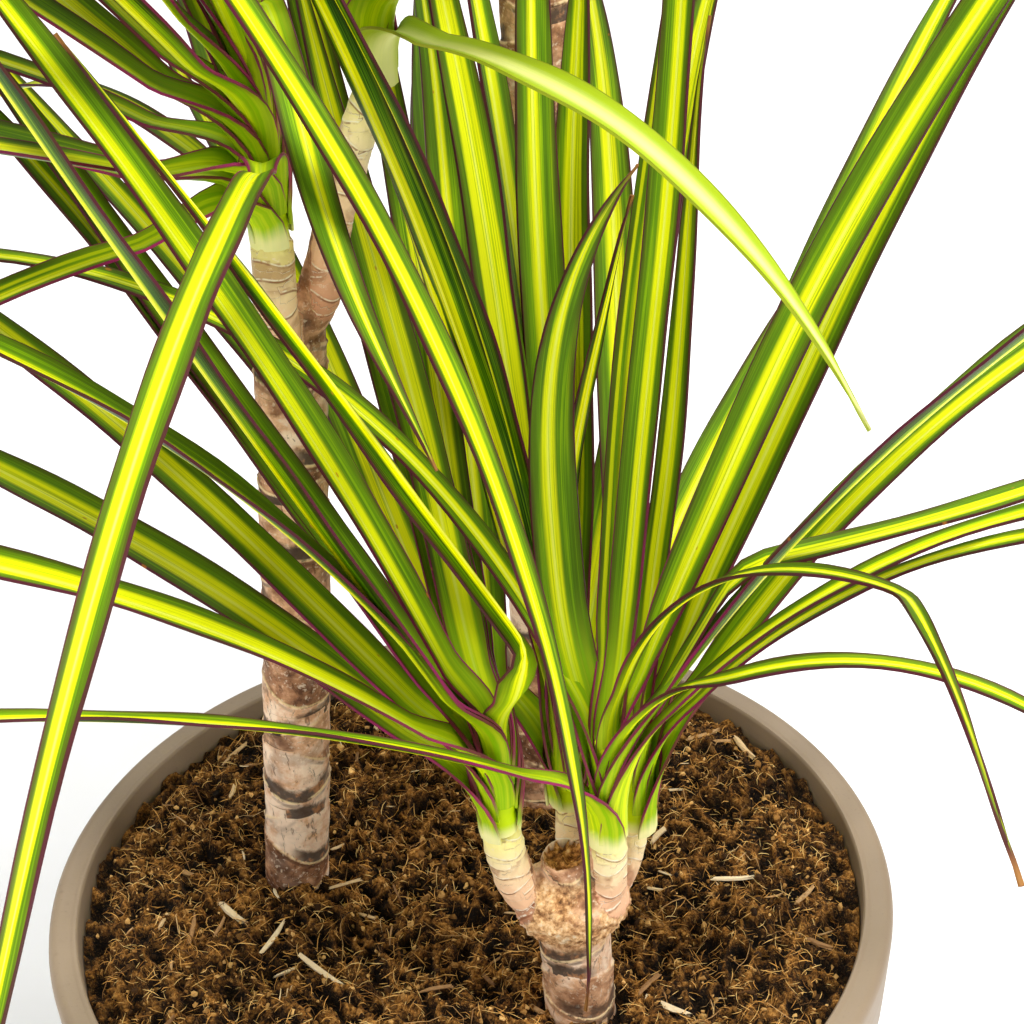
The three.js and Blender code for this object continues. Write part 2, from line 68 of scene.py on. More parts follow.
def placeCamera():
    data = bpy.data.cameras.new("camera")
    setAll(data, camera["eye"])
    eye = bpy.data.objects.new("camera", data)
    bpy.context.scene.collection.objects.link(eye)
    tilt = Matrix.Rotation(math.radians(90 - camera["lookDown"]), 4, "X")
    lean = Matrix.Rotation(math.radians(camera["lean"]), 4, "Z")
    eye.matrix_world = Matrix.Translation(camera["place"]) @ tilt @ lean
    bpy.context.scene.camera = eye


def lightStudio():
    scene = bpy.context.scene
    scene.view_settings.view_transform = "Standard"
    scene.world = bpy.data.worlds.new("studio")
    scene.world.use_nodes = True
    sky = scene.world.node_tree.nodes["Background"].inputs
    sky["Color"].default_value = studio["skyColour"]
    sky["Strength"].default_value = studio["skyStrength"]
    for name, place, target, size, watts in studio["lamps"]:
        data = bpy.data.lights.new(name, "AREA")
        setAll(data, {"energy": watts, "size": size})
        lamp = bpy.data.objects.new(name, data)
        scene.collection.objects.link(lamp)
        lamp.location = place
        lamp.rotation_euler = (Vector(target) - Vector(place)).to_track_quat("-Z", "Y").to_euler()


# Shader helpers: a wire is one socket, and sums on wires add Math nodes

class Wire:
    def __init__(self, paint, socket):
        self.paint = paint
        self.socket = socket

    def math(self, operation, *values):
        return self.paint.node("ShaderNodeMath", {"operation": operation}, dict(enumerate(values)))

    def __add__(self, other):
        return self.math("ADD", self, other)

    def __sub__(self, other):
        return self.math("SUBTRACT", self, other)

    def __rsub__(self, other):
        return self.math("SUBTRACT", other, self)

    def __mul__(self, other):
        return self.math("MULTIPLY", self, other)

    def __truediv__(self, other):
        return self.math("DIVIDE", self, other)

    __radd__, __rmul__ = __add__, __mul__

    def __abs__(self):
        return self.math("ABSOLUTE", self)

    def between(self, low, high):  # 0 below low, 1 above high, smooth in the middle
        limits = {"Value": self, "From Min": low, "From Max": high}
        return self.paint.node("ShaderNodeMapRange", {"interpolation_type": "SMOOTHSTEP"}, limits)

    def below(self, low, high):  # the reverse: 1 below low, 0 above high
        return 1 - self.between(low, high)

    def fraction(self):
        return self.math("FRACT", self)

    def atLeast(self, other):
        return self.math("MAXIMUM", self, other)


def colour(red, green, blue):  # from 0-255 screen values to the shader's linear ones
    def linear(value):
        share = value / 255
        return share / 12.92 if share <= 0.04045 else ((share + 0.055) / 1.055) ** 2.4

    return (linear(red), linear(green), linear(blue), 1)


def tinted(value):  # three screen values become a linear colour, and a wire or a linear colour stays
    return colour(*value) if isinstance(value, tuple) and len(value) == 3 else value


class Paint:
    def __init__(self, name):
        self.material = bpy.data.materials.new(name)
        self.material.use_nodes = True
        self.tree = self.material.node_tree
        self.shader = self.tree.nodes["Principled BSDF"]

    def node(self, kind, settings=None, inputs=None, output=0):
        made = self.tree.nodes.new(kind)
        settings = dict(settings or {})
        for index, (place, tint) in enumerate(settings.pop("stops", ())):
            stops = made.color_ramp.elements
            stop = stops[index] if index < len(stops) else stops.new(place)
            setAll(stop, {"position": place, "color": colour(*tint)})
        setAll(made, settings)
        for key, value in (inputs or {}).items():
            self.feed(made.inputs[key], value)
        return Wire(self, made.outputs[output])

    def feed(self, socket, value):
        if isinstance(value, Wire):
            self.tree.links.new(value.socket, socket)
        else:
            socket.default_value = value

    def attribute(self, name):
        return self.node("ShaderNodeAttribute", {"attribute_name": name}, output="Fac")

    def place(self):
        return self.node("ShaderNodeTexCoord", output="Object")

    def stretched(self, vector, scale):
        return self.node("ShaderNodeMapping", inputs={"Vector": vector, "Scale": scale})

    def joined(self, x, y, z):
        return self.node("ShaderNodeCombineXYZ", inputs={0: x, 1: y, 2: z})

    def grain(self, vector, scale, detail=2.0, roughness=0.5, distortion=0.0, output=0):
        inputs = {"Vector": vector, "Scale": scale, "Detail": detail, "Roughness": roughness, "Distortion": distortion}
        return self.node("ShaderNodeTexNoise", inputs=inputs, output=output)

    def cells(self, vector, scale):
        return self.node("ShaderNodeTexVoronoi", inputs={"Vector": vector, "Scale": scale})

    def blend(self, amount, low, high):
        return self.node("ShaderNodeMix", {"data_type": "RGBA"}, {0: amount, 6: tinted(low), 7: tinted(high)}, output=2)

    def cover(self, shade, *layers):  # lays each tint over the shade as far as its mask says
        for mask, tint in layers:
            shade = self.blend(mask, shade, tint)
        return shade

    def ramp(self, value, stops):
        return self.node("ShaderNodeValToRGB", {"stops": stops}, {"Fac": value})

    def finish(self, shade, roughness, specular=0.5, relief=None):  # relief: height, strength and depth
        sockets = {"Base Color": shade, "Roughness": roughness, "Specular IOR Level": specular}
        if relief:
            bump = dict(zip(("Height", "Strength", "Distance"), relief))
            sockets["Normal"] = self.node("ShaderNodeBump", inputs=bump)
        for key, value in sockets.items():
            self.feed(self.shader.inputs[key], value)
        return self.material


def makeFloor():
    size, height = studio["floorSize"], studio["floorHeight"]
    floor = added(bpy.ops.mesh.primitive_plane_add, size=size, location=(0, 0, height))
    floor.name = "floor"
    paint = Paint("floor_paper")
    shade = paint.blend(paint.grain(paint.place(), 3, 2).between(0.2, 0.8), *studio["floorShades"])
    floor.data.materials.append(paint.finish(shade, 0.9))


# Mesh helpers

def deselectAll():
    if bpy.context.object and bpy.context.object.mode != "OBJECT":
        bpy.ops.object.mode_set(mode="OBJECT")
    bpy.ops.object.select_all(action="DESELECT")


def takeActive(piece):
    deselectAll()
    piece.select_set(True)
    bpy.context.view_layer.objects.active = piece


def added(operator, **settings):  # runs one of Blender's makers and hands back what it made
    deselectAll()
    operator(**settings)
    return bpy.context.object


def applyModifier(piece, kind, **settings):
    takeActive(piece)
    modifier = piece.modifiers.new(kind.lower(), kind)
    setAll(modifier, settings)
    bpy.ops.object.modifier_apply(modifier=modifier.name)


def editMesh(piece, *steps):
    takeActive(piece)
    bpy.ops.object.mode_set(mode="EDIT")
    bpy.ops.mesh.select_all(action="SELECT")
    for step in steps:
        step()
    bpy.ops.object.mode_set(mode="OBJECT")


def faceOut():
    bpy.ops.mesh.normals_make_consistent(inside=False)


def joinPieces(name, pieces):
    deselectAll()
    for piece in pieces:
        piece.select_set(True)
    bpy.context.view_layer.objects.active = pieces[0]
    if len(pieces) > 1:
        bpy.ops.object.join()
    joined = bpy.context.object
    joined.name = name
    joined.data.name = name
    return joined


def settle(piece, angle, slot, material, *nodes):  # smooths the finished piece and says where it belongs
    takeActive(piece)
    bpy.ops.object.shade_smooth_by_angle(angle=math.radians(angle))
    piece.data.materials.clear()
    piece.data.materials.append(material)
    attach(piece, "root")
    if nodes:
        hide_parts(*nodes)
    print(piece.name, len(piece.data.polygons), "faces")


def vertexPlaces(piece, field="co"):
    values = np.zeros(len(piece.data.vertices) * 3)
    piece.data.vertices.foreach_get(field, values)
    return values.reshape(-1, 3)


def setVertexPlaces(piece, places):
    piece.data.vertices.foreach_set("co", np.ascontiguousarray(places, dtype=np.float32).ravel())
    piece.data.update()


def setAttributes(piece, **fields):  # a single number holds for the whole piece
    for name, values in fields.items():
        found = piece.data.attributes.get(name) or piece.data.attributes.new(name, "FLOAT", "POINT")
        filled = np.broadcast_to(values, len(piece.data.vertices))
        found.data.foreach_set("value", np.ascontiguousarray(filled, dtype=np.float32))


def flatGrid(name, across, along):  # a grid from -1 to 1 both ways
    made = added(bpy.ops.mesh.primitive_grid_add, x_subdivisions=across, y_subdivisions=along, size=2)
    made.name = name
    return made


def mixed(low, high, share):
    return low + (high - low) * share


def smoothShare(share):
    held = np.clip(share, 0, 1)
    return held * held * (3 - 2 * held)


def noiseAt(places, scale, octaves, shift):
    lifted = Vector((shift, shift * 0.7, -shift))
    return np.array([noise.fractal(Vector(place) * scale + lifted, 1.0, 2.1, octaves) for place in places])


# Pot: a lathe-like wall, extruded ring by ring from its foot

pot = {
    "height": 240, "rimRadius": 135, "rimInnerRadius": 125.5, "bandHeight": 30, "bandTaper": 1.5, "bandStep": 6,
    "bodyRadius": 127, "footRadius": 98, "wall": 3, "floor": 4, "hub": 8, "footHollow": 1.5, "sides": 160,
    "drainHoles": 8, "drainHoleRadius": 5, "drainCircleRadius": 72, "drillSides": 32, "drillLength": 20,
    "sideRings": (0.33, 0.66, 0.97), "bandMiddle": 14,
    "footLip": [(-10.4, 1.5), (-8, 0.9), (-6.4, 0.2), (-5.2, 0), (-2.4, 0), (-1.1, 0.3), (-0.3, 1.1), (0, 2.2)],
    "bandUnder": [(-0.2, -1.2), (0.4, -0.2), (1.6, 0.1)],
    "bandFoot": [(-1.6, 0.2), (-0.5, 0.7), (0, 1.8)],
    "rimEdge": [(0, -3.4), (-0.3, -1.7), (-1.1, -0.7), (-2.3, -0.15), (-3.6, -0.1)],
    "rimInside": [(2.6, -0.5), (2.0, -0.3), (1.4, 0), (0.7, 0), (0.2, -0.5), (0, -1.4)],
    "floorCorner": [(0.4, 3), (-1, 0.8), (-3, 0)],
    "tints": [(140, 121, 99), (157, 137, 114)], "fleck": (126, 108, 90), "dirt": (72, 48, 27), "worn": (140, 120, 102),
}


def potOutline():  # radius and height of every ring, from under the foot round to the inner floor
    height, rim, inner = pot["height"], pot["rimRadius"], pot["rimInnerRadius"]
    body, foot, wall, floor = pot["bodyRadius"], pot["footRadius"], pot["wall"], pot["floor"]
    band = height - pot["bandHeight"]
    bandRadius, wallTop = rim - pot["bandTaper"], band - pot["bandStep"]

    def corner(name, radius, level):
        return [(radius + out, level + up) for out, up in pot[name]]

    return [
        (pot["hub"], pot["footHollow"]), *corner("footLip", foot, 0),
        *((mixed(foot, body, share), band * share) for share in pot["sideRings"]),
        *corner("bandUnder", body, band), *corner("bandFoot", bandRadius, band),
        ((bandRadius + rim) / 2, band + pot["bandMiddle"]),
        *corner("rimEdge", rim, height), *corner("rimInside", inner, height),
        ((inner + body - wall) / 2, (height + wallTop) / 2), (body - wall, wallTop),
        ((body + foot) / 2 - wall, wallTop / 2), *corner("floorCorner", foot - wall, floor), (pot["hub"], floor),
    ]


def makePot():
    outline = potOutline()
    radius, height = outline[0]
    start = {"radius": radius * mm, "location": (0, 0, height * mm)}
    wall = added(bpy.ops.mesh.primitive_circle_add, vertices=pot["sides"], **start)
    wall.name = "plastic_pot"
    bpy.ops.object.transform_apply(location=True)
    bpy.ops.object.mode_set(mode="EDIT")
    bpy.ops.mesh.select_all(action="SELECT")
    for (radiusNow, heightNow), (radius, height) in zip(outline, outline[1:]):
        grow = radius / radiusNow
        bpy.ops.mesh.extrude_region_move(TRANSFORM_OT_translate={"value": (0, 0, (height - heightNow) * mm)})
        bpy.ops.transform.resize(value=(grow, grow, 1), center_override=(0, 0, height * mm))
    bpy.ops.mesh.edge_face_add()
    bpy.ops.object.mode_set(mode="OBJECT")
    closeFoot(wall)
    drills = []
    for hole in range(pot["drainHoles"]):
        turn = hole * math.tau / pot["drainHoles"]
        reach = pot["drainCircleRadius"] * mm
        spot = (reach * math.cos(turn), reach * math.sin(turn), pot["floor"] / 2 * mm)
        size = {"vertices": pot["drillSides"], "radius": pot["drainHoleRadius"] * mm, "depth": pot["drillLength"] * mm}
        drills.append(added(bpy.ops.mesh.primitive_cylinder_add, location=spot, **size))
    drill = joinPieces("drill", drills)
    applyModifier(wall, "BOOLEAN", object=drill, operation="DIFFERENCE", solver="EXACT")
    bpy.data.objects.remove(drill)
    settle(wall, 35, "pot_plastic", potFinish(), "pot")


def closeFoot(wall):  # fills the small open ring that the outline starts from
    takeActive(wall)
    for vertex in wall.data.vertices:
        level = abs(vertex.co.z - pot["footHollow"] * mm) < 1e-5
        vertex.select = level and vertex.co.xy.length < (pot["hub"] + 1) * mm
    bpy.ops.object.mode_set(mode="EDIT")
    bpy.ops.mesh.edge_face_add()
    bpy.ops.mesh.select_all(action="SELECT")
    faceOut()
    bpy.ops.object.mode_set(mode="OBJECT")


def potFinish():
    paint = Paint("pot_plastic")
    place = paint.place()
    level = paint.node("ShaderNodeSeparateXYZ", inputs={0: place}, output="Z")
    cloudy = paint.grain(place, 14, 3)
    flecks = paint.grain(place, 900, 2, 0.6)
    rings = paint.grain(paint.joined(0.5, 0.5, level), 900, 2)
    underRim = level.below(0.205, 0.2385).atLeast(level.between(0.238, 0.2398) * 0.35)
    patches = paint.grain(place, 55, 3).between(0.5, 0.72)
    specks = paint.cells(place, 210).below(0.0, 0.32) * patches * underRim
    shade = paint.cover(
        paint.blend(cloudy.between(0.3, 0.7), *pot["tints"]),
        (flecks.between(0.62, 0.75) * 0.35, pot["fleck"]),
        (specks * 0.8, pot["dirt"]),
        (level.below(0.0, 0.02) * 0.3, pot["worn"]),
    )
    scuffs = paint.grain(paint.stretched(place, (40, 40, 600)), 1, 3)
    relief = flecks * 0.25 + rings * 0.3 + specks
    return paint.finish(shade, 0.44 + scuffs * 0.16, 0.4, (relief, 0.35, 0.0006))


# Soil: a disc of peat with clumps, crumbs, coir threads and wood splinters

soil = {
    "level": 235.5, "relief": 1.6, "radius": 124.7, "skirtRadius": 95.2, "bottom": 4.3, "skirtDrop": 6,
    "edgeStart": 108, "edgeSpan": 16, "edgeDrop": 4.5, "around": 420, "rings": 170, "skirtRows": 3, "crowding": 0.8,
    "clump": 3.2, "lump": 2.6, "grit": 1.3, "ceiling": 241.5,
    "lumps": [  # place, reach and rise of the larger clods
        (-79, -57, 9.5, 4.5), (-37, -98, 10, 3), (20, -107, 11, 3), (68, -73, 9, 3), (1, -4, 10, 3), (85, -13, 9, 3),
        (-93, -2, 10, 3.5), (60, -100, 8, 3), (-57, -52, 9, 2.5),
    ],
    "shades": [
        (0.30, (9, 5, 2)), (0.42, (64, 38, 14)), (0.51, (150, 98, 40)), (0.6, (228, 162, 80)), (0.72, (255, 226, 148)),
    ],
    # the last tint on the next line is painted shade for the dips of the bed
    "strand": (226, 170, 96), "damp": (40, 26, 15), "hollowShade": (7, 4, 2),
}


def soilTop(x, y):  # height of the loose surface at many places, and how deep each lies in a hollow, which is used as painted shade
    spots = np.stack([x, y, np.zeros_like(x)], 1)
    clumps = noiseAt(spots, 0.045, 2, 3.1)
    knots = np.abs(noiseAt(spots, 0.13, 3, 9.7))
    grit = noiseAt(spots, 0.42, 3, 21.3)
    waves = np.sin(x * 0.11 + 1.3) * np.cos(y * 0.09 - 0.4) + 0.6 * np.sin(x * 0.23 - y * 0.19 + 2.1)
    top = soil["level"] + soil["relief"] * waves
    top = top + soil["clump"] * clumps + soil["lump"] * (0.9 - knots * 3.4) + soil["grit"] * grit
    for lumpX, lumpY, reach, rise in soil["lumps"]:
        away = np.hypot(x - lumpX, y - lumpY) / reach
        top += rise * np.clip(1 - away ** 2, 0, 1) ** 0.6
    top -= soil["edgeDrop"] * smoothShare((np.hypot(x, y) - soil["edgeStart"]) / soil["edgeSpan"])
    return np.minimum(top, soil["ceiling"]), smoothShare(knots * 2.6 - grit * 0.35)


def makeSoilBed():
    bed = flatGrid("soil_bed", soil["around"], soil["rings"])
    grid = vertexPlaces(bed)
    turn = (grid[:, 0] + 1) * math.pi
    row = (grid[:, 1] + 1) / 2 * soil["rings"]
    reach = np.clip((row - soil["skirtRows"]) / (soil["rings"] - soil["skirtRows"]), 0, 1)
    radius = soil["radius"] * (1 - reach ** soil["crowding"])
    height, hollowShade = soilTop(radius * np.cos(turn), radius * np.sin(turn))
    skirt = row < soil["skirtRows"] - 0.5  # the lowest rows go down the wall of the pot
    side = np.clip((row - 1) / 2, 0, 1)
    radius = np.where(row < 0.5, 0, np.where(skirt, mixed(soil["skirtRadius"], soil["radius"], side), radius))
    height = np.where(skirt, mixed(soil["bottom"], soil["level"] - soil["skirtDrop"], side), height)
    setVertexPlaces(bed, np.stack([radius * np.cos(turn), radius * np.sin(turn), height], 1) * mm)
    # how deep each place lies in a hollow is kept for the painted shade in the dips
    setAttributes(bed, soilHollow=hollowShade)
    editMesh(bed, lambda: bpy.ops.mesh.remove_doubles(threshold=0.00002), faceOut)
    settle(bed, 60, "soil", soilFinish(), "soil")


def soilFinish():
    paint = Paint("peat")
    place = paint.place()
    hollowShade = paint.attribute("soilHollow")
    fine = paint.grain(place, 640, 4, 0.7)
    clods = paint.grain(place, 130, 3, 0.6)
    drift = paint.grain(place, 150.0, output="Color")
    swirl = paint.node("ShaderNodeVectorMath", {"operation": "SCALE"}, {0: drift, "Scale": 0.018})
    drifted = paint.node("ShaderNodeVectorMath", {"operation": "ADD"}, {0: place, 1: swirl})
    strands = paint.grain(drifted, 1100, 2, 0.7)
    # the hollow mask is painted shade: it lowers the ramp and lays near-black over the dips of the bed
    shade = paint.cover(
        paint.ramp(clods * 0.35 + fine * 0.65 - hollowShade * 0.1, soil["shades"]),
        (strands.between(0.57, 0.66) * 0.7, soil["strand"]),
        (paint.grain(place, 26, 2).between(0.5, 0.75) * 0.3, soil["damp"]),
        (hollowShade * 0.88, soil["hollowShade"]),
    )
    pits = paint.cells(place, 420).between(0, 0.5)
    relief = fine * 0.8 + clods * 0.9 - pits * 0.35 + strands * 0.8
    return paint.finish(shade, 0.92, 0.2, (relief, 1.0, 0.0016))


# Canes and side shoots, with the lines that fallen leaves left

canes = {
    "short": {
        "radius": 10.8, "rows": 60, "topShare": 0.8, "narrow": 0.64,
        "route": [[32.4, -51.8, 169], [32.8, -51.8, 236], [31.4, -52.7, 270.4], [29.5, -53.7, 296.3]],
    },
    "middle": {
        "radius": 10.5, "rows": 120, "topShare": 0.965, "narrow": 0.9,
        "route": [
            [-61.4, 11.4, 169], [-56.6, 11.4, 236], [-47, 10.9, 345.1], [-43.2, 9.5, 394.8], [-39.4, 7.6, 448.4],
        ],
    },
    "tall": {
        "radius": 10.5, "rows": 200, "topShare": 0.975, "narrow": 0.9,
        "route": [
            [20.9, 43, 169], [24.6, 43, 236], [30.5, 42, 425.4], [32.4, 42, 511.5], [35.3, 41, 624.4],
            [34.3, 40.1, 715.3],
        ],
    },
}

shootFields = ("cane", "radius", "route")

shootRows = {
    "a": ("short", [6.7, 5.7],
          [[28.6, -53.7, 276.2], [18.1, -54.6, 283.8], [13.7, -56.6, 296.3], [11.6, -57.5, 310.6]]),
    "b": ("short", [6.2, 5.3],
          [[33.4, -53.7, 276.2], [40.1, -55.6, 281.9], [42, -57, 291.5], [42.2, -57.5, 304.9]]),
    "c": ("short", [4.3, 3.8],
          [[36.2, -48.9, 266.6], [45.8, -43.2, 276.2], [49.6, -40.3, 283.8], [51.5, -39.3, 294.4]]),
    "d": ("short", [4.3, 3.8],
          [[31.4, -44.1, 272.4], [31.6, -34.5, 280], [31.8, -30.7, 286.7], [31.8, -28.8, 294.4]]),
    "e": ("middle", [6.7, 5.7],
          [[-41.3, 3.7, 431.2], [-41.7, -4.9, 440.7], [-41.3, -6.8, 454.1], [-40.8, -3.9, 471.4]]),
    "f": ("middle", [5.7, 4.8],
          [[-39.4, 6.6, 436.9], [-30.7, 2.8, 452.2], [-22.1, 0.9, 480.9], [-10.7, 0.9, 512.5]]),
    "g": ("tall", [6.7, 5.7],
          [[32.4, 36.3, 691.4], [21.9, 28.6, 702.9], [15.2, 24.8, 722], [12.3, 22.9, 746.9]]),
    "h": ("tall", [6.7, 5.7],
          [[37.2, 42, 697.2], [48.7, 43.9, 706.7], [56.3, 46.8, 727.8], [60.1, 48.7, 758.4]]),
    "i": ("tall", [5.7, 4.8],
          [[33.4, 47.7, 681.8], [29.5, 61.1, 693.3], [24.7, 68.8, 712.5], [21.9, 73.6, 735.4]]),
}

shoots = {name: dict(zip(shootFields, row)) for name, row in shootRows.items()}

knob = {"centre": [31, -53.2, 278.1], "size": [17.2, 13.4, 12]}

bark = {
    "voxel": 0.9, "around": 40, "shootAround": 32, "shootRows": 24, "flare": 1.6, "swell": 0.35, "far": 99.0,
    "scarTurn": 137.5, "scarGap": [9, 14.5], "scarLift": 8, "shootGap": [3.4, 5.2], "shootLift": 2.0,
    "ridge": 0.4, "recess": 0.5, "shootRidge": 0.16, "ridgeWidth": 0.75, "recessReach": 4.5,
    "pithDepth": 2.4, "pithShare": 0.82, "pithRim": 0.86,
    "woods": [(0.3, (96, 60, 38)), (0.42, (168, 118, 82)), (0.53, (226, 176, 134)), (0.66, (255, 226, 196))],
    "grey": (150, 124, 106), "light": (242, 220, 192), "crack": (96, 60, 36), "darks": [(48, 38, 33), (168, 108, 56)],
    # the last tint on the next line is painted shadow under each scar line
    "line": (250, 220, 168), "shadowUnderLine": (74, 48, 32),
    "youngs": [
        (0.2, (184, 118, 84)), (0.42, (226, 164, 126)), (0.64, (250, 206, 162)), (0.82, (255, 232, 178)),
        (0.97, (252, 238, 150)),
    ],
    "youngPatch": (178, 120, 84), "youngLight": (255, 232, 200), "youngLine": (255, 246, 222),
    # painted shadow under each scar line on the side shoots
    "youngShadowUnder": (150, 88, 52),
    "scabs": [(0.36, (96, 60, 32)), (0.45, (186, 134, 84)), (0.54, (240, 194, 138)), (0.66, (255, 236, 200))],
    "piths": [(0.36, (58, 30, 10)), (0.47, (150, 94, 40)), (0.57, (224, 160, 86)), (0.69, (255, 220, 156))],
}


def smoothRoute(route, steps):  # centripetal curve through the corners, evenly spaced
    corners = [np.array(corner, float) for corner in route]
    corners = [2 * corners[0] - corners[1]] + corners + [2 * corners[-1] - corners[-2]]
    points = []
    for before, start, end, after in zip(corners, corners[1:], corners[2:], corners[3:]):
        gaps = [np.sqrt(np.linalg.norm(b - a)) for a, b in ((before, start), (start, end), (end, after))]
        t0, t1 = 0, gaps[0]
        t2 = t1 + gaps[1]
        t3 = t2 + gaps[2]
        for t in np.linspace(t1, t2, 24, endpoint=False):
            first = mixed(before, start, (t - t0) / (t1 - t0))
            middle = mixed(start, end, (t - t1) / (t2 - t1))
            last = mixed(end, after, (t - t2) / (t3 - t2))
            low = mixed(first, middle, (t - t0) / (t2 - t0))
            high = mixed(middle, last, (t - t1) / (t3 - t1))
            points.append(mixed(low, high, (t - t1) / (t2 - t1)))
    points = np.array([*points, corners[-2]])
    run = np.concatenate([[0], np.cumsum(np.linalg.norm(np.diff(points, axis=0), axis=1))])
    return eachAxis(np.linspace(0, run[-1], steps + 1), run, points), run[-1]


def eachAxis(wanted, known, points):
    return np.stack([np.interp(wanted, known, points[:, axis]) for axis in range(3)], 1)


def unit(vectors):
    return vectors / np.linalg.norm(vectors, axis=1, keepdims=True)


def stemFrame(line):  # directions along and across the stem at each point of its line
    along = unit(np.gradient(line, axis=0))
    across = unit(np.cross(np.tile([0.0, 1.0, 0.0], (len(line), 1)), along))
    return along, across, np.cross(along, across)


def stemTube(name, route, radiusAt, around, rows):  # a grid rolled round the line and closed at both ends
    line, _ = smoothRoute(route, rows)
    _, across, third = stemFrame(line)
    tube = flatGrid(name, around, rows + 2)
    grid = vertexPlaces(tube)
    turn = ((grid[:, 0] + 1) * math.pi)[:, None]
    row = np.rint((grid[:, 1] + 1) / 2 * (rows + 2)).astype(int)
    cap = (row == 0) | (row == rows + 2)
    index = np.clip(row - 1, 0, rows)
    radius = np.where(cap, 0, radiusAt(index / rows))[:, None]
    setVertexPlaces(tube, (line[index] + radius * (np.cos(turn) * across[index] + np.sin(turn) * third[index])) * mm)
    editMesh(tube, lambda: bpy.ops.mesh.remove_doubles(threshold=0.00001), faceOut)
    return tube


def stemPlaces(points, route, steps):  # for each point: distance along the line, turn about it and distance from it
    line, length = smoothRoute(route, steps)
    along, across, third = stemFrame(line)
    nearest = np.zeros(len(points), int)
    for start in range(0, len(points), 4000):  # in blocks, to spare memory
        block = points[start:start + 4000]
        nearest[start:start + 4000] = ((block[:, None, :] - line[None]) ** 2).sum(2).argmin(1)
    away = points - line[nearest]
    slip, sideways, onward = ((away * axis[nearest]).sum(1) for axis in (along, across, third))
    return nearest * length / steps + slip, np.arctan2(onward, sideways), np.hypot(sideways, onward), length


def scarFields(run, turn, length, gapRange, lift, seed):  # gap to the nearest line, its front, gap above it, its tone
    draw = random.Random(seed)
    lines = []
    place, heading = -lift, draw.uniform(0, math.tau)
    while place < length + lift:
        lines.append((place, heading, draw.random(), draw.uniform(0.8, 1.2)))
        place += draw.uniform(*gapRange)
        heading += math.radians(bark["scarTurn"]) + draw.uniform(-0.25, 0.25)
    gap, above = np.full((2, len(run)), bark["far"])
    front, tone = np.zeros((2, len(run)))
    for place, heading, shade, reach in lines:
        facing = (1 + np.cos(turn - heading)) / 2
        rise = run - (place + lift * reach * (1 - facing) ** 1.15 + 0.5 * np.sin(turn * 3 + shade * 40))
        closer = (np.abs(rise) < np.abs(gap)) & (facing > 0.12)
        gap, front = np.where(closer, (rise, facing), (gap, front))
        over = (rise > 0) & (rise < above)
        above, tone = np.where(over, rise, above), np.where(over, shade, tone)
    return gap, front, above, tone


def caneParts(name, ownShoots):
    spec = canes[name]
    top = spec["topShare"]

    def caneRadius(share):
        return spec["radius"] * mixed(1, spec["narrow"], smoothShare((share - top) / (1 - top)))

    parts = [stemTube("cane_core", spec["route"], caneRadius, bark["around"], spec["rows"])]
    for key, shoot in ownShoots.items():
        def shootRadius(share):
            return mixed(*shoot["radius"], share) + bark["flare"] * (1 - smoothShare((share - 0.1) / 0.35))

        parts.append(stemTube("shoot_" + key, shoot["route"], shootRadius, bark["shootAround"], bark["shootRows"]))
    if name == "short":
        centre = [value * mm for value in knob["centre"]]
        swelling = added(bpy.ops.mesh.primitive_ico_sphere_add, subdivisions=4, radius=mm, location=centre)
        swelling.scale = knob["size"]
        bpy.ops.object.transform_apply(location=True, scale=True)
        parts.append(swelling)
    return parts


